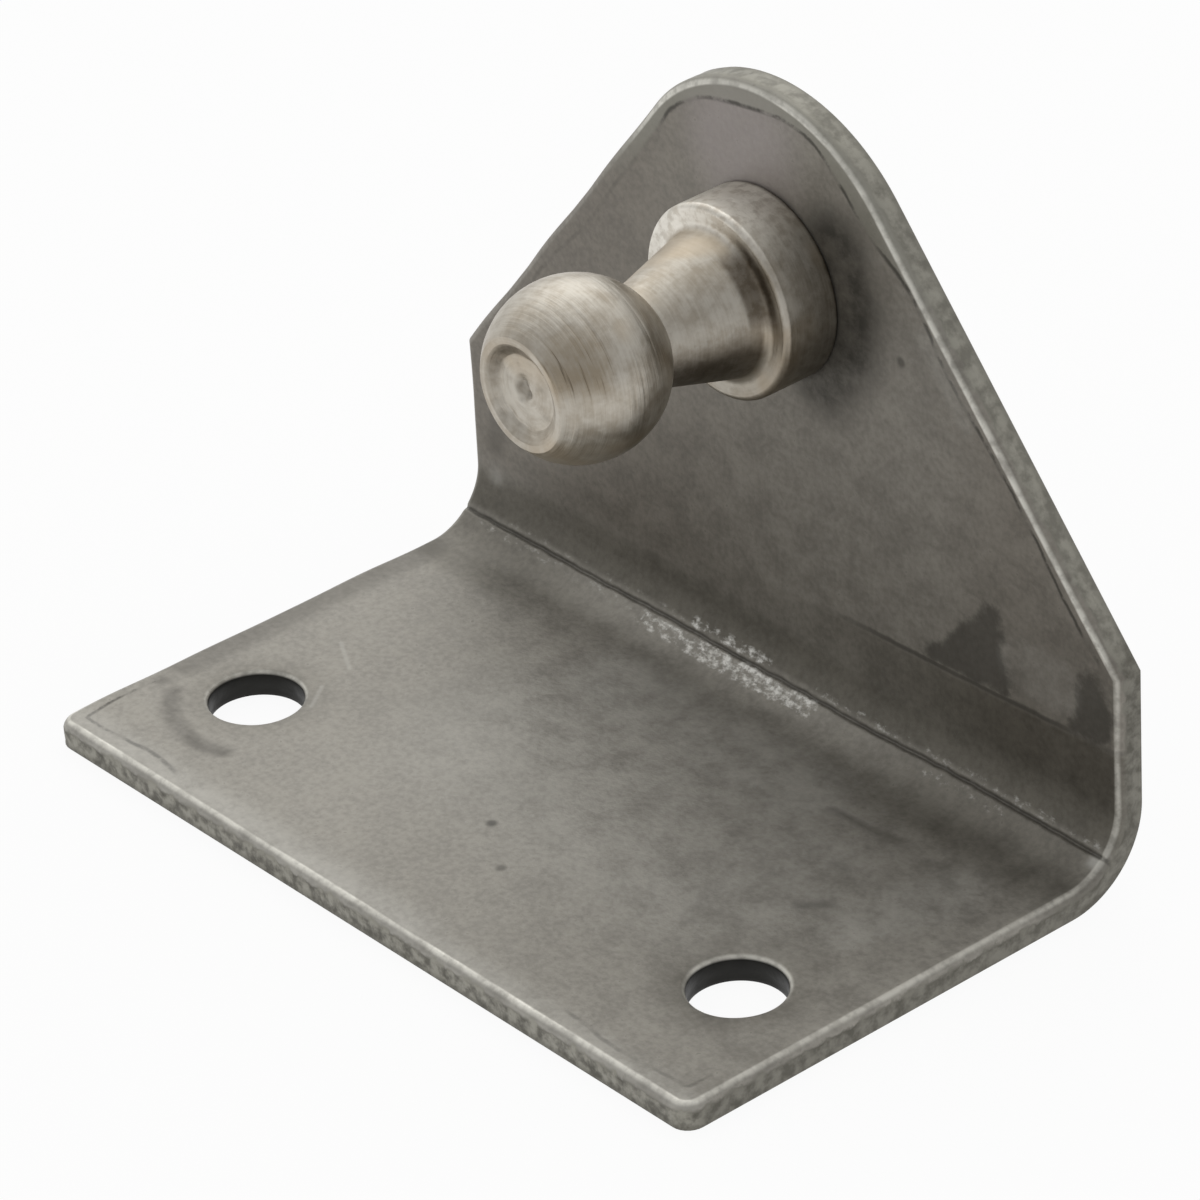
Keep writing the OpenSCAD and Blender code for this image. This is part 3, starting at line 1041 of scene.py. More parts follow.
@dataclass(frozen=True)
class AnglePlate:
    """The folded angle plate: one blank with two fixing holes and a rivet hole, folded once.

    The face of the blank is a ruled grid: half the outline is a curve (X(p), W(p)) from the free edge to the
    top, and a place on the face is (s X(p), W(p)) with s from -1 to 1. Square patches of the grid give way to
    polar patches round the holes, and the edges are a section carried along the outline. The break's depths
    and its foot are shares of the sheet's thickness; the foot's first numbers are insets in mm.
    """

    fold: Fold
    top_r: float = 11.3
    corner_r: float = 1.1
    corner_step: float = math.pi / 14
    edge_roll: float = 0.45
    edge_hold: float = 0.8
    hole_r: float = 2.65
    hole_x: float = 19.7
    hole_roll: float = 0.3
    rivet_hole_r: float = 3.03
    rivet_roll: float = 0.05
    patch_half: float = 4.4
    patch_rings: int = 9
    columns: int = 132
    row_step: float = 0.4
    bend_step: float = 0.14
    crease_step: float = 0.05
    crease_reach: float = 0.6
    crease_depth: float = 0.15
    crease_half: float = 0.13
    crease_waves: tuple[Waves, Waves] = (Waves(0.05, 15.0, 3), Waves(0.015, 1.5, 4))
    sheet_waves: tuple[Waves, Waves] = (Waves(0.012, 11.0, 1), Waves(0.004, 3.0, 2))
    wave_margin: float = 1.5
    drawn_depth: float = 0.05
    drawn_reach: float = 0.7
    relief_reach: float = 0.6
    roll_waves: Waves = Waves(0.12, 7.0, 20)
    roll_limits: Point = (0.7, 1.3)
    break_depths: tuple[float, ...] = (0.5, 0.6, 0.72, 0.86, 0.97)
    break_shares: tuple[float, ...] = (0.0, 0.4, 1.0, 0.9, 0.5)
    break_waves: tuple[Waves, ...] = tuple(Waves(1.0, 0.9 + 0.3 * k, 60 + k) for k in range(5))
    break_set: float = 0.012
    foot: tuple[Point, ...] = ((0.03, 0.995), (0.08, 1.0), (0.2, 1.0))

    @property
    def hole_w(self) -> float:
        """Length over the blank at the centres of the fixing holes."""
        return -self.fold.front_y

    @property
    def top_centre(self) -> Point:
        """Centre of the round top, and of the rivet hole, on the blank."""
        return self.fold.on_upright(0.0, self.fold.height - self.top_r)

    @property
    def slant_angle(self) -> float:
        """Direction of the right slant's outward side, which touches the round top."""
        half_w, drop = self.fold.half_w, self.fold.kink[1] - self.top_centre[1]
        return math.atan2(drop, half_w) + math.acos(self.top_r / math.hypot(half_w, drop))

    def half_outline(self) -> tuple[Array, Array]:
        """The right half of the blank's outline, from the corner of the free edge to just below the top.

        Corner arc, straight side, slanted side that touches the round top, and arc of the top. A point p of
        the outline inset by e lies at p + e * inward, where the kink's inward direction is mitred.

        Returns:
            The points and their inward directions.
        """
        fold, (_, top_w) = self.fold, self.top_centre
        kink = np.array(fold.kink)
        normal = np.array([math.cos(self.slant_angle), math.sin(self.slant_angle)])
        touch_point = np.array([0.0, top_w]) + self.top_r * normal

        corner = spaced(-math.pi / 2, 0, self.corner_step)
        corner_dir = np.stack([np.cos(corner), np.sin(corner)], axis=-1)
        corner_mid = np.array([fold.half_w - self.corner_r, self.corner_r])
        bend = spaced(fold.bend_start, fold.bend_end, self.bend_step)
        clear = np.abs(bend - fold.crease_w) > self.crease_reach
        crease = fold.crease_w + np.arange(-self.crease_reach, self.crease_reach, self.crease_step)
        side = np.sort(np.concatenate([
            spaced(self.corner_r, fold.bend_start, self.row_step), bend[clear], crease,
            spaced(fold.bend_end, kink[1] - self.row_step / 2, self.row_step),
        ]))
        side_points = np.stack([np.full_like(side, fold.half_w), side], axis=-1)
        slant = spaced(0.0, 1.0, self.row_step / np.linalg.norm(touch_point - kink))[:, None]
        slant_points = kink + slant * (touch_point - kink)
        slant_dir = np.repeat(normal[None], len(slant), axis=0)
        slant_dir[0] = [1.0, normal[1] / (1 + normal[0])]
        arc = spaced(self.slant_angle, math.pi / 2, self.row_step / self.top_r)
        arc_dir = np.stack([np.cos(arc), np.sin(arc)], axis=-1)
        points = np.concatenate([
            corner_mid + self.corner_r * corner_dir, side_points, slant_points,
            np.array([0.0, top_w]) + self.top_r * arc_dir,
        ])
        outward = np.concatenate([corner_dir, np.tile([1.0, 0.0], (len(side), 1)), slant_dir, arc_dir])
        return points, -outward

    def edge_loop(self) -> tuple[Array, Array]:
        """The whole outline: free edge, right side, top, left side, and its inward directions."""
        right, inward = self.half_outline()
        share = np.linspace(-1, 1, self.columns + 1)
        front = np.stack([share * right[0, 0], np.zeros_like(share)], axis=-1)
        mirror = np.array([-1.0, 1.0])
        top = np.array([[0.0, self.top_centre[1] + self.top_r]])
        points = np.concatenate([front, right[1:], top, (right[1:] * mirror)[::-1]])
        front_in = np.tile([0.0, 1.0], (len(share), 1))
        return points, np.concatenate([front_in, inward[1:], [[0.0, -1.0]], (inward[1:] * mirror)[::-1]])

    def edge_section(self, roll: float, width: Array, seed_points: Array) -> Array:
        """Section of a sheared edge along a loop, from the stud's side to the back.

        The rolled edge, a smooth band, a rough break that is set back a little at random, and a sharp lower
        edge. The roll is wider and narrower along the loop by the factor in width.

        Args:
            roll: Width of the rolled edge.
            width: Factor on that width at each point of the loop.
            seed_points: Places of the loop's points, for the break's roughness.

        Returns:
            Pairs (inset, depth) with the shape (sections, points of the loop, 2).
        """
        sheet_t = self.fold.sheet_t
        rolled = roll_profile(roll)[:, None, :] * width[:, None]
        depth = np.array(self.break_depths) * sheet_t
        rough = self.break_set * np.array(self.break_shares)
        wave = np.stack([waves.at(seed_points) for waves in self.break_waves])
        inset = rough[:, None] * (WAVE_REACH + wave).clip(0)
        lower = np.stack([inset, np.broadcast_to(depth[:, None], inset.shape)], axis=-1)
        foot = np.array(self.foot) * [1.0, sheet_t]
        foot = np.broadcast_to(foot[:, None, :], (len(foot), len(width), 2))
        return np.concatenate([rolled, lower, foot])

    def margin(self, flat: Array) -> Array:
        """Distances of places on the blank from the outline, the nearest fixing hole and the tool line.

        Inside the outline, which is convex, the distance is the least of those from its sides: a rounded
        box for the free edge and the straight sides, the two slants, and the arc where a place lies in the
        arc's own sector. The tool line wanders a little about the middle of the bend.

        Args:
            flat: Places (x, w).

        Returns:
            The three distances at each place, the last with a sign.
        """
        x, w = np.abs(flat[:, 0]), flat[:, 1]
        side, front = self.fold.half_w - x, w
        corner = self.corner_r - np.hypot(self.corner_r - side, self.corner_r - front)
        box = np.where((side < self.corner_r) & (front < self.corner_r), corner, np.minimum(side, front))
        up = w - self.top_centre[1]
        angle = self.slant_angle
        slant = self.top_r - x * math.cos(angle) - up * math.sin(angle)
        arc = np.where(np.arctan2(up, x) > angle, self.top_r - np.hypot(x, up), np.inf)
        hole = np.hypot(x - self.hole_x, w - self.hole_w) - self.hole_r
        line = self.fold.crease_w + sum(waves.at(flat[:, :1]) for waves in self.crease_waves)
        return np.stack([np.minimum(np.minimum(box, slant), arc), hole, w - line], axis=-1)

    def relief(self, blank: Array, margin: Array) -> Array:
        """Depth of the stud's side below its true plane, which fades away down the edges.

        Slow waves of the sheet, the tool line along the bend as a groove depth * exp(-(distance / half)^2),
        and the metal drawn in round the fixing holes.

        Args:
            blank: Places (x, w, n) on the blank.
            margin: Their distances from the outline, the holes and the tool line.

        Returns:
            The added depth at each place.
        """
        flat, (edge, hole, crease) = blank[:, :2], margin.T
        inner = np.clip(edge / self.wave_margin, 0, 1)
        swell = inner * sum(waves.at(flat) for waves in self.sheet_waves)
        groove = self.crease_depth * np.exp(-((crease / self.crease_half) ** 2))
        drawn = self.drawn_depth * np.exp(-np.clip(hole, 0, None) / self.drawn_reach)
        return (swell + groove + drawn) * np.clip(1 - blank[:, 2] / self.relief_reach, 0, 1)

    def holes(self) -> list[tuple[Point, float, float]]:
        """Centre on the blank, radius and rolled rim of each hole."""
        fixing = [((side * self.hole_x, self.hole_w), self.hole_r, self.hole_roll) for side in (-1, 1)]
        return [*fixing, (self.top_centre, self.rivet_hole_r, self.rivet_roll)]

    def face(self, surface: SurfaceBuilder, side: Side) -> tuple[Array, list[Array]]:
        """Adds one face of the sheet.

        Args:
            surface: Builder of the plate's mesh.
            side: Which face.

        Returns:
            The loop of points at the face's edge, and the loop round each hole.
        """
        flip = side is Side.BACK
        depth = side.value * self.fold.sheet_t
        right, inward = self.half_outline()
        curve = right + self.edge_hold * inward
        share = np.linspace(-1, 1, self.columns + 1)
        x = curve[:, :1] * share
        w = np.repeat(curve[:, 1:], len(share), axis=1)
        index = surface.points(np.stack([x, w, np.full_like(x, depth)], axis=-1))
        top_w = self.top_centre[1] + self.top_r - self.edge_hold
        top = surface.points(np.array([[0.0, top_w, depth]]))
        kept = np.ones((len(x) - 1, len(share) - 1), dtype=bool)
        loops = []
        for centre, radius, _ in self.holes():
            inside_w = np.flatnonzero(np.abs(curve[:, 1] - centre[1]) < self.patch_half)
            middle = x[inside_w[len(inside_w) // 2]]
            inside_x = np.flatnonzero(np.abs(middle - centre[0]) < self.patch_half)
            r0, r1, c0, c1 = inside_w[0], inside_w[-1], inside_x[0], inside_x[-1]
            kept[r0:r1, c0:c1] = False
            border = np.concatenate([
                index[r0, c0:c1], index[r0:r1, c1], index[r1, c1:c0:-1], index[r1:r0:-1, c0],
            ])
            loops.append(self.polar_patch(surface, border, centre, radius + self.edge_hold, depth, flip))
        cells = [index[:-1, :-1], index[:-1, 1:], index[1:, 1:], index[1:, :-1]]
        surface.faces(*(c[kept] for c in cells), flip=flip)
        surface.fan(index[-1], top[0], flip=flip)
        loop = np.concatenate([index[0], index[1:, -1], top, index[:0:-1, 0]])
        return loop, loops

    def polar_patch(
        self, surface: SurfaceBuilder, border: Array, centre: Point, radius: float, depth: float, flip: bool
    ) -> Array:
        """Fills the grid between a square border and a circle: rings (1 - t) border + t circle.

        Args:
            surface: Builder of the plate's mesh.
            border: Loop of the border's points.
            centre: Centre of the circle on the blank.
            radius: Radius of the circle.
            depth: Depth of the face.
            flip: Whether the face looks the other way.

        Returns:
            The loop of points on the circle.
        """
        outer = surface.places()[border, :2]
        angle = np.arctan2(outer[:, 1] - centre[1], outer[:, 0] - centre[0])
        circle = np.array(centre) + radius * np.stack([np.cos(angle), np.sin(angle)], axis=-1)
        share = np.linspace(0, 1, self.patch_rings + 1)[1:, None, None]
        rings = (1 - share) * outer + share * circle
        index = surface.points(np.concatenate([rings, np.full((*rings.shape[:2], 1), depth)], axis=-1))
        previous = border
        for ring in index:
            surface.strip(previous, ring, flip=not flip)
            previous = ring
        return previous

    def edges(self, surface: SurfaceBuilder, loops: tuple[Array, Array], places: Array, flip: bool) -> None:
        """Joins the two faces by the sections of an edge.

        Args:
            surface: Builder of the plate's mesh.
            loops: Loop of points on the stud's side and on the back.
            places: Places of the sections' points, with the shape (sections, points, 3).
            flip: Whether the metal lies outside the loop, as round a hole.
        """
        rings = [loops[0], *surface.points(places), loops[1]]
        for upper, lower in zip(rings, rings[1:]):
            surface.strip(upper, lower, flip=flip)

    def build(self, material: bpy.types.Material) -> bpy.types.Object:
        """Makes the plate.

        Args:
            material: Its finish.

        Returns:
            The plate's object, riding on the part and standing for its solid.
        """
        surface = SurfaceBuilder()
        front, front_holes = self.face(surface, Side.STUD)
        back, back_holes = self.face(surface, Side.BACK)
        outline, inward = self.edge_loop()
        width = 1 + self.roll_waves.at(outline)
        section = self.edge_section(self.edge_roll, width.clip(*self.roll_limits), outline)
        flat = outline + section[..., :1] * inward
        self.edges(surface, (front, back), np.concatenate([flat, section[..., 1:]], axis=-1), False)
        for (centre, radius, roll), upper, lower in zip(self.holes(), front_holes, back_holes):
            ray = surface.places()[upper, :2] - centre
            ray = ray / np.linalg.norm(ray, axis=1, keepdims=True)
            section = self.edge_section(roll, np.ones(len(upper)), ray * radius + centre)
            flat = centre + (radius + section[..., :1]) * ray
            self.edges(surface, (upper, lower), np.concatenate([flat, section[..., 1:]], axis=-1), True)
        blank = surface.places()
        margin = self.margin(blank[:, :2])
        blank[:, 2] += self.relief(blank, margin)
        plate = surface.make("folded_angle_plate", self.fold.placed(blank), material)
        store_vector(plate, "blank", blank)
        store_vector(plate, "margin", margin)
        SheetWearAndPaintedLight(self.fold).store(plate, blank[:, :2], margin[:, 0])
        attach(plate, BODY)
        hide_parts("angle_plate")
        return plate


@dataclass(frozen=True)
class Around:
    """A window round the stud's axis: full strength near one direction, fading to 0 away from it."""

    centre_deg: float
    out_deg: float
    full_deg: float
    strength: float

    def share(self, angle: Array) -> Array:
        """The window's strength at each angle, given in radians."""
        away = np.abs((angle - math.radians(self.centre_deg) + math.pi) % (2 * math.pi) - math.pi)
        return Ramp(self.full_deg, self.out_deg, self.strength, 0.0).share(np.degrees(away))


@dataclass(frozen=True)
class BallStud:
    """The turned stud: ball with a dished nose, conical neck, collar, shank and peened head, in one piece.

    A half section of points (r, d), where d is the distance from the upright's face, is carried round the
    stud's axis: x = r cos a, y = face_y - d, z = axis_z + r sin a. A pit of the torn nose is its place, its
    radius and its depth. Ramps named for a place start at that place's own size, as soil_and_painted_light
    and wear_and_painted_light show.
    """

    face_y: float
    axis_z: float
    collar_r: float
    nose_end: float
    head_end: float
    sheet_t: float
    ball_r: float = 5.0
    ball_reach: float = 13.2
    dish_r: float = 2.8
    dish_floor_r: float = 2.1
    dish_depth: float = 0.4
    dimple_r: float = 0.45
    dimple_depth: float = 0.2
    neck_r: float = 2.75
    neck_base_r: float = 4.2
    fillet_r: float = 0.45
    collar_l: float = 3.6
    collar_rim: float = 0.35
    seat_rim: float = 0.15
    shank_r: float = 3.0
    rivet_r: float = 4.3
    rivet_foot: float = 0.3
    mark_depth: float = 0.004
    mark_waves: Waves = Waves(1.0, 0.45, 30)
    mark_stretch: Place = (1.0, 0.35, 0.35)
    nose_rough: float = 0.02
    nose_waves: Waves = Waves(1.0, 1.1, 31)
    nose_flat: Ramp = Ramp(-0.5, 0.0, 1.0, 0.0)
    tear_x: float = -0.35
    tear_pits: tuple[tuple[Point, float, float], ...] = (
        ((0.0, 0.4), 0.4, 0.22), ((-0.05, -0.45), 0.36, 0.2), ((0.45, -0.05), 0.3, 0.12),
    )
    ball_start: Ramp = Ramp(-0.2, 0.4)
    nose_rim: Ramp = Ramp(0.0, 0.2, 1.0, 0.0)
    neck_start: Ramp = Ramp(0.1, 0.5)
    corner_top: Ramp = Ramp(0.9, 1.3, 1.0, 0.0)
    corner_foot: float = -0.1
    corner_width: float = 0.5
    # painted dark reflection of the neck on the collar face, in the corner on the upper right
    corner_reflection: Around = Around(34, 40, 20, 0.9)
    # painted dark reflection of the plate in a stripe under the neck
    neck_reflection: Around = Around(-36, 62, 14, 0.8)
    dish_ring_r: float = 2.4
    dish_ring: Ramp = Ramp(0.1, 0.5, 1.0, 0.0)
    # painted shadow on the upper left wall of the dish
    dish_shadow: Around = Around(135, 85, 30, 0.6)
    tear_dirt: Ramp = Ramp(0.3, 0.75, 0.6, 0.0)
    collar_side: Ramp = Ramp(-0.4, -0.1)
    # painted shade on the collar's lower right side
    collar_shade: Around = Around(-45, 75, 20, 0.45)
    # painted contact shadow where the collar meets the sheet
    seat_shadow: Ramp = Ramp(0.05, 0.35, 0.9, 0.0)
    seat_start: Ramp = Ramp(0.0, 1.0)
    # the dark patch faces the camera: tarnish and a painted reflection of the dark surroundings there
    dark_patch_way: Place = (0.66, -0.54, 0.50)
    dark_patch: Ramp = Ramp(0.88, 0.99)
    ring_share: Ramp = Ramp(-0.2, 0.4, 0.2, 0.9)
    collar_face: Ramp = Ramp(-0.2, 0.3)
    collar_top: Ramp = Ramp(0.6, 1.4, 1.0, 0.0)
    # painted highlight where light falls on the collar's upper left
    collar_highlight: Around = Around(120, 95, 30, 0.8)
    step: float = 0.07
    turn_step: float = 0.2
    hold: float = 0.025
    columns: int = 160

    @classmethod
    def from_frame(cls, fold: Fold) -> "BallStud":
        """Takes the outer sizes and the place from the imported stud."""
        low, high = (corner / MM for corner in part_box("ball_stud"))
        face_y = fold.back_y - fold.sheet_t
        return cls(
            face_y=face_y, axis_z=(low.z + high.z) / 2, collar_r=high.x,
            nose_end=face_y - low.y, head_end=face_y - high.y, sheet_t=fold.sheet_t,
        )

    @property
    def neck_end(self) -> float:
        """Distance from the upright's face at which the neck meets the ball."""
        return self.ball_reach - math.sqrt(self.ball_r**2 - self.neck_r**2)

    def straight(self, start: Point, end: Point, marks: ToolMarks) -> Array:
        """Points (r, d, tool marks) of a straight stretch without its end, close together at both ends.

        Args:
            start: Its first point (r, d).
            end: Its last point (r, d).
            marks: How deep its tool marks are.

        Returns:
            The points.
        """
        length = math.dist(start, end)
        inner = spaced(self.hold, length - self.hold, self.step)
        along = np.concatenate([[0.0], inner, [length - self.hold]])[:, None] / length
        places = np.array(start) + along * (np.array(end) - np.array(start))
        return np.concatenate([places, np.full_like(along, marks.value)], axis=1)

    def arc(self, centre: Point, radius: float, start: float, end: float, marks: ToolMarks) -> Array:
        """Points (r, d, tool marks) of an arc without its end.

        Args:
            centre: Its centre (r, d).
            radius: Its radius.
            start: Angle of its first point from the r axis.
            end: Angle of its last point.
            marks: How deep its tool marks are.

        Returns:
            The points.
        """
        angle = spaced(start, end, min(self.step / radius, self.turn_step))
        places = np.array(centre) + radius * np.stack([np.cos(angle), np.sin(angle)], axis=-1)
        return np.concatenate([places, np.full((len(angle), 1), marks.value)], axis=1)

    def half_section(self) -> Array:
        """The half section from the nose to the peened head.

        Returns:
            Points (r, d, depth of tool marks), without the two poles on the axis.
        """
        floor_d = self.nose_end - self.dish_depth
        nose_angle = math.asin((self.nose_end - self.ball_reach) / self.ball_r)
        nose_r = self.ball_r * math.cos(nose_angle)
        neck_angle = -math.acos(self.neck_r / self.ball_r)
        slope = math.atan2(self.neck_base_r - self.neck_r, self.neck_end - self.collar_l)
        fillet_x = self.neck_base_r + self.fillet_r * (1 - math.sin(slope)) / math.cos(slope)
        fillet = (fillet_x, self.collar_l + self.fillet_r)
        fillet_start = (
            fillet[0] - self.fillet_r * math.cos(slope), fillet[1] - self.fillet_r * math.sin(slope),
        )
        rim_r, rim_d = self.collar_r - self.collar_rim, self.collar_l - self.collar_rim
        seat_r = self.collar_r - self.seat_rim
        sheet_back = -self.sheet_t
        cap = sheet_back - self.rivet_foot - self.head_end
        cap_radius = (self.rivet_r**2 + cap**2) / (2 * cap)
        cap_angle = math.asin(self.rivet_r / cap_radius)
        quarter = math.pi / 2
        dimple = (self.dimple_r, floor_d)
        dish_foot, dish_rim = (self.dish_floor_r, floor_d), (self.dish_r, self.nose_end)
        rivet_rim = (self.rivet_r, sheet_back)
        none, faint, light, plain, clear, full = ToolMarks
        return np.concatenate([
            self.straight((0.0, floor_d - self.dimple_depth), dimple, faint)[1:],
            self.straight(dimple, dish_foot, clear),
            self.straight(dish_foot, dish_rim, plain),
            self.straight(dish_rim, (nose_r, self.nose_end), plain),
            self.arc((0.0, self.ball_reach), self.ball_r, nose_angle, neck_angle, full),
            self.straight((self.neck_r, self.neck_end), fillet_start, light),
            self.arc(fillet, self.fillet_r, math.pi + slope, math.pi + quarter, light),
            self.straight((fillet_x, self.collar_l), (rim_r, self.collar_l), plain),
            self.arc((rim_r, rim_d), self.collar_rim, quarter, 0.0, faint),
            self.straight((self.collar_r, rim_d), (self.collar_r, self.seat_rim), light),
            self.arc((seat_r, self.seat_rim), self.seat_rim, 0.0, -quarter, none),
            self.straight((seat_r, 0.0), (self.shank_r, 0.0), none),
            self.straight((self.shank_r, 0.0), (self.shank_r, sheet_back), none),
            self.straight((self.shank_r, sheet_back), rivet_rim, none),
            self.straight(rivet_rim, (self.rivet_r, sheet_back - self.rivet_foot), none),
            self.arc((0.0, self.head_end + cap_radius), cap_radius, cap_angle - quarter, -quarter, light),
        ])

    def torn_dimple(self, x: Array, z: Array) -> Array:
        """Depth of the metal torn out where the nose was parted off: three round pits about the axis.

        Each pit is depth * exp(-(distance / radius)^2).

        Args:
            x: Places on the nose, across.
            z: Places on the nose, upwards from the axis.

        Returns:
            The depth at each place.
        """
        return sum(
            depth * np.exp(-((x - self.tear_x - centre[0]) ** 2 + (z - centre[1]) ** 2) / radius**2)
            for centre, radius, depth in self.tear_pits
        )

    def soil_and_painted_light(self, r: Array, d: Array, angle: Array) -> Array:
        """Shares of the dark patch and of dirt with painted shade over the stud, as products of soft windows.

        The dark patch lies on the ball about dark_patch_way, towards the camera: tarnish and a painted
        reflection. The second share holds a painted reflection in the corner of neck and collar, a painted
        reflection in a stripe under the neck, a painted shadow in the upper corner of the dish, dirt in the
        torn middle of the nose, painted shade under the collar, and a painted shadow where the collar meets
        the sheet.

        Args:
            r: Radii of the half section's points, as a column.
            d: Their distances from the upright's face, as a column.
            angle: Angles round the axis, as a row.

        Returns:
            The two shares and 0 at each point, with the shape (points, angles, 3).
        """
        way = np.array(self.dark_patch_way) / np.linalg.norm(self.dark_patch_way)
        facing = r * np.cos(angle) * way[0] + (self.ball_reach - d) * way[1] + r * np.sin(angle) * way[2]
        on_ball = self.ball_start.moved(self.neck_end).share(d)
        on_nose = (d > self.ball_reach) * self.nose_rim.moved(self.dish_r).share(r)
        on_neck = self.neck_start.moved(self.collar_l).share(d) * (1 - on_ball)
        corner_reach = Ramp(self.neck_base_r + self.corner_width, self.collar_r - self.collar_rim, 1.0, 0.0)
        in_corner = self.corner_top.moved(self.collar_l).share(d) * corner_reach.share(r)
        in_corner = in_corner * Ramp(self.corner_foot, self.collar_l).share(d)
        on_collar = self.collar_side.moved(self.collar_r).share(r) * (d < self.collar_l) * (d > 0)
        from_tear = np.hypot(r * np.cos(angle) - self.tear_x, r * np.sin(angle))
        # painted reflections, shadows and shade, and the dirt of the torn nose
        dish_wall = on_nose * self.dish_ring.share(np.abs(r - self.dish_ring_r))
        dirt_and_shade = [
            in_corner * self.corner_reflection.share(angle),
            on_neck * self.neck_reflection.share(angle),
            dish_wall * self.dish_shadow.share(angle),
            on_nose * self.tear_dirt.share(from_tear),
            on_collar * self.collar_shade.share(angle),
            self.seat_shadow.share(d) * self.seat_start.moved(self.shank_r).share(r),
        ]
        # dark patch: tarnish and a painted reflection
        tarnish_and_reflection = on_ball * self.dark_patch.share(facing / self.ball_r)
        shares = np.broadcast_arrays(tarnish_and_reflection, np.max(np.broadcast_arrays(*dirt_and_shade), axis=0), 0.0)
        return np.stack(shares, axis=-1)

    def wear_and_painted_light(self, r: Array, d: Array, angle: Array) -> Array:
        """Shares of tool rings, which show on the ball, and of a painted highlight on the collar's lit upper
        left.

        Args:
            r: Radii of the half section's points, as a column.
            d: Their distances from the upright's face, as a column.
            angle: Angles round the axis, as a row.

        Returns:
            The two shares and 0 at each point, with the shape (points, angles, 3).
        """
        rings = self.ring_share.moved(self.neck_end).share(d)
        on_collar = self.collar_face.moved(self.neck_base_r).share(r) * (d > 0)
        on_collar = on_collar * self.collar_top.moved(self.collar_l).share(d)
        # painted highlight on the collar
        painted_highlight = on_collar * self.collar_highlight.share(angle)
        return np.stack(np.broadcast_arrays(rings, painted_highlight, 0.0), axis=-1)

    def build(self, material: bpy.types.Material) -> bpy.types.Object:
        """Makes the stud. Its tool marks only take metal away, by up to about 4 times mark_depth.

        Args:
            material: Its finish.

        Returns:
            The stud's object, riding on the part and standing for its solid.
        """
        section = self.half_section()
        r, d, marks = section.T
        length = np.concatenate([[0.0], np.cumsum(np.hypot(np.diff(r), np.diff(d)))])
        angle = np.linspace(0, 2 * math.pi, self.columns, endpoint=False)
        turned = np.stack(np.broadcast_arrays(length[:, None], np.cos(angle), np.sin(angle)), axis=-1)
        wave = self.mark_waves.at(turned * self.mark_stretch)
        depth = self.mark_depth * marks[:, None] * (wave - WAVE_REACH).clip(max=0)
        tangent = np.stack([np.gradient(r, length), np.gradient(d, length)], axis=-1)
        radius = r[:, None] + depth * -tangent[:, 1:]
        reach = d[:, None] + depth * tangent[:, :1]
        x, z = radius * np.cos(angle), radius * np.sin(angle)
        on_floor = (length < self.dish_floor_r)[:, None]
        reach = reach - on_floor * self.torn_dimple(x, z)
        on_nose = (self.nose_flat.moved(self.dish_r).share(r) * (d > self.ball_reach))[:, None]
        uneven = self.nose_waves.at(np.stack([x, z], axis=-1))
        reach = reach - self.nose_rough * on_nose * (WAVE_REACH + uneven).clip(min=0)
        surface = SurfaceBuilder()
        index = surface.points(np.stack([x, -reach, z], axis=-1))
        nose = float(reach[0].mean())
        poles = surface.points(np.array([[0.0, -nose, 0.0], [0.0, -self.head_end, 0.0]]))
        for ring, following in zip(index, index[1:]):
            surface.strip(ring, following)
        surface.fan(np.append(index[0], index[0, 0]), poles[0])
        surface.fan(np.append(index[-1], index[-1, 0]), poles[1], flip=True)
        places = surface.places() + [0.0, self.face_y, self.axis_z]
        stud = surface.make("turned_ball_stud", places, material)
        ends = np.array([[0.0, 0.0, 0.0], [length[-1], 0.0, 0.0]])
        store_vector(stud, "turned", np.concatenate([turned.reshape(-1, 3), ends]))
        for name, shares in (("soiled_and_painted_light", self.soil_and_painted_light), ("rings_and_highlight", self.wear_and_painted_light)):
            values = shares(r[:, None], d[:, None], angle)
            store_vector(stud, name, np.concatenate([values.reshape(-1, 3), values[[0, -1], 0]]))
        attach(stud, BODY)
        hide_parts("ball_stud")
        return stud


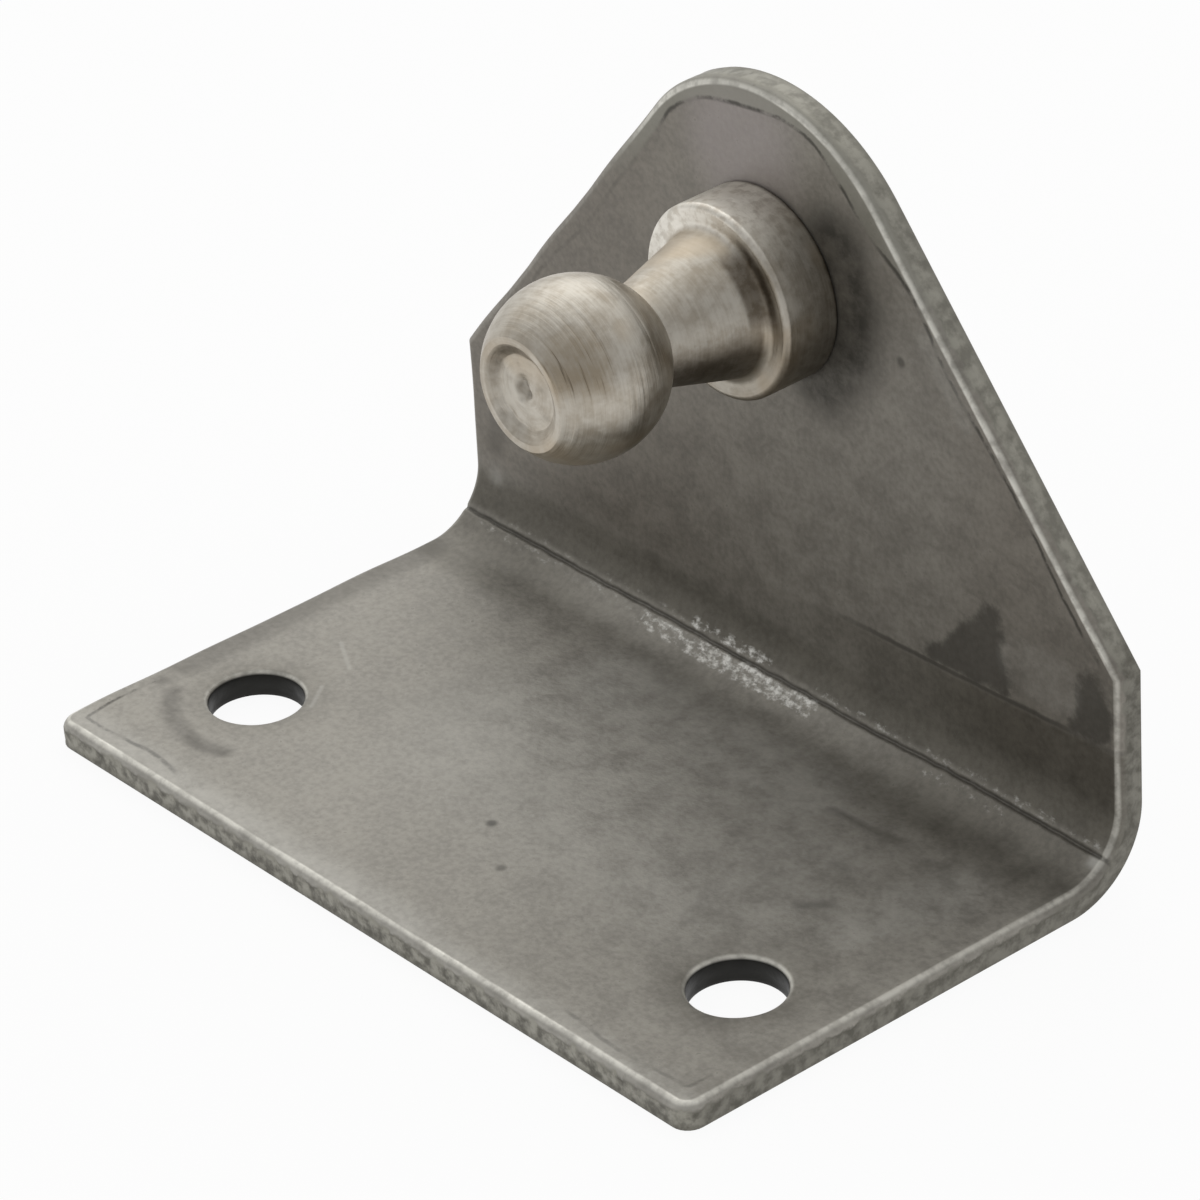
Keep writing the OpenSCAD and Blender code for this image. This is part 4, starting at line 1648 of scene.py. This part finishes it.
@dataclass(frozen=True)
class Studio:
    """White floor, surroundings bright behind and above and dim in front, a soft lamp and the camera."""

    eye_mm: Place = (231.1, -179.8, 193.1)
    azimuth_deg: float = 50.81
    elevation_deg: float = 31.22
    roll_deg: float = -3.46
    lens_mm: float = 198.6
    sensor_mm: float = 36.0
    clip_m: Point = (0.01, 20.0)
    floor_color: Color = (0.9, 0.9, 0.9)
    floor_half_m: float = 3.0
    floor_gap_mm: float = 0.02
    glow_share: float = 0.93
    bright_way: Place = (-0.60, 0.60, 0.53)
    viewer_way: Place = (0.66, -0.54, 0.52)
    sky_bright: Color = (1.08, 1.08, 1.07)
    sky_dim: Color = (0.56, 0.56, 0.56)
    sky_dark: Color = (0.42, 0.42, 0.42)
    sky_lit: Ramp = Ramp(0.15, 0.95)
    sky_rise: Ramp = Ramp(0.0, 0.35, 0.3, 1.0)
    sky_viewer: Ramp = Ramp(0.6, 0.95)
    lamp_place_m: Place = (-0.55, 0.40, 0.60)
    lamp_aim_m: Place = (0.0, 0.008, 0.015)
    lamp_size_m: float = 0.6
    lamp_power_w: float = 0.8

    def camera(self) -> bpy.types.Object:
        """Makes the camera at the photograph's viewing angle.

        Returns:
            The camera's object.
        """
        a, e, roll = (math.radians(v) for v in (self.azimuth_deg, self.elevation_deg, self.roll_deg))
        back = Vector((math.sin(a) * math.cos(e), -math.cos(a) * math.cos(e), math.sin(e)))
        level = Vector((math.cos(a), math.sin(a), 0.0))
        rise = back.cross(level)
        right = math.cos(roll) * level + math.sin(roll) * rise
        up = math.cos(roll) * rise - math.sin(roll) * level
        data = bpy.data.cameras.new("camera")
        data.sensor_width = self.sensor_mm
        data.lens = self.lens_mm
        data.clip_start, data.clip_end = self.clip_m
        made = bpy.data.objects.new("camera", data)
        turn = Matrix((right, up, back)).transposed().to_4x4()
        made.matrix_world = Matrix.Translation(Vector(self.eye_mm) * MM) @ turn
        bpy.context.scene.collection.objects.link(made)
        bpy.context.scene.camera = made
        return made

    def floor(self) -> bpy.types.Object:
        """Makes the white floor, which glows white to the camera and to metal but keeps a shadow.

        Returns:
            The floor's object.
        """
        material, graph = new_material("white_floor")
        path = graph.add("ShaderNodeLightPath").outputs
        seen = graph.largest(path["Is Camera Ray"], path["Is Glossy Ray"], path["Is Transmission Ray"])
        share = graph.product(seen, self.glow_share)
        matt = graph.add("ShaderNodeBsdfDiffuse", None, {"Color": (*self.floor_color, 1.0)})
        glow = graph.add("ShaderNodeEmission", None, {"Color": (1.0, 1.0, 1.0, 1.0), "Strength": 1.0})
        mixed = graph.add("ShaderNodeMixShader", None, {0: share, 1: matt.outputs[0], 2: glow.outputs[0]})
        graph.add("ShaderNodeOutputMaterial", None, {"Surface": mixed.outputs[0]})
        half = self.floor_half_m
        mesh = bpy.data.meshes.new("floor")
        corners = [(-half, -half, 0.0), (half, -half, 0.0), (half, half, 0.0), (-half, half, 0.0)]
        mesh.from_pydata(corners, [], [(0, 1, 2, 3)])
        mesh.materials.append(material)
        made = bpy.data.objects.new("floor", mesh)
        made.location.z = -self.floor_gap_mm * MM
        bpy.context.scene.collection.objects.link(made)
        return made

    def surroundings(self) -> None:
        """Lights the world: bright behind and above the bracket, dim on the side that the stud points to."""
        world = bpy.data.worlds.new("studio")
        world.use_nodes = True
        bpy.context.scene.world = world
        graph = Graph(world.node_tree)
        direction = graph.add("ShaderNodeTexCoord").outputs["Generated"]
        facing = graph.vector("DOT_PRODUCT", direction, Vector(self.bright_way).normalized()).outputs["Value"]
        _, _, height = graph.split(direction)
        lit = graph.product(graph.ramp(facing, self.sky_lit), graph.ramp(height, self.sky_rise))
        tone = graph.mix(lit, self.sky_dim, self.sky_bright)
        behind = graph.vector("DOT_PRODUCT", direction, Vector(self.viewer_way).normalized()).outputs["Value"]
        tone = graph.mix(graph.ramp(behind, self.sky_viewer), tone, self.sky_dark)
        sky = graph.add("ShaderNodeBackground", None, {"Color": tone, "Strength": 1.0})
        graph.add("ShaderNodeOutputWorld", None, {"Surface": sky.outputs[0]})

    def lamp(self) -> bpy.types.Object:
        """Adds a square soft lamp that looks at the middle of the bracket.

        Returns:
            The lamp's object.
        """
        data = bpy.data.lights.new("soft_box", "AREA")
        data.size = self.lamp_size_m
        data.energy = self.lamp_power_w
        made = bpy.data.objects.new("soft_box", data)
        made.location = self.lamp_place_m
        way = Vector(self.lamp_aim_m) - Vector(self.lamp_place_m)
        made.rotation_euler = way.to_track_quat("-Z", "Y").to_euler()
        bpy.context.scene.collection.objects.link(made)
        return made

    def build(self) -> None:
        """Sets up the camera, floor, surroundings and lamp."""
        self.camera()
        self.floor()
        self.surroundings()
        self.lamp()
        bpy.context.scene.view_settings.view_transform = "Standard"


def report(piece: bpy.types.Object) -> None:
    """Logs a piece's name and how many faces it has."""
    log.info("%s: %d faces", piece.name, len(piece.data.polygons))


def main() -> None:
    """Builds the studio, the plate and the stud."""
    logging.basicConfig(level=logging.INFO, format="%(name)s: %(message)s")
    Studio().build()
    fold = Fold.from_frame()
    report(AnglePlate(fold).build(PlateFinish(fold).build()))
    stud = BallStud.from_frame(fold)
    report(stud.build(TurnedFinish().build()))


if __name__ == "__main__":
    main()
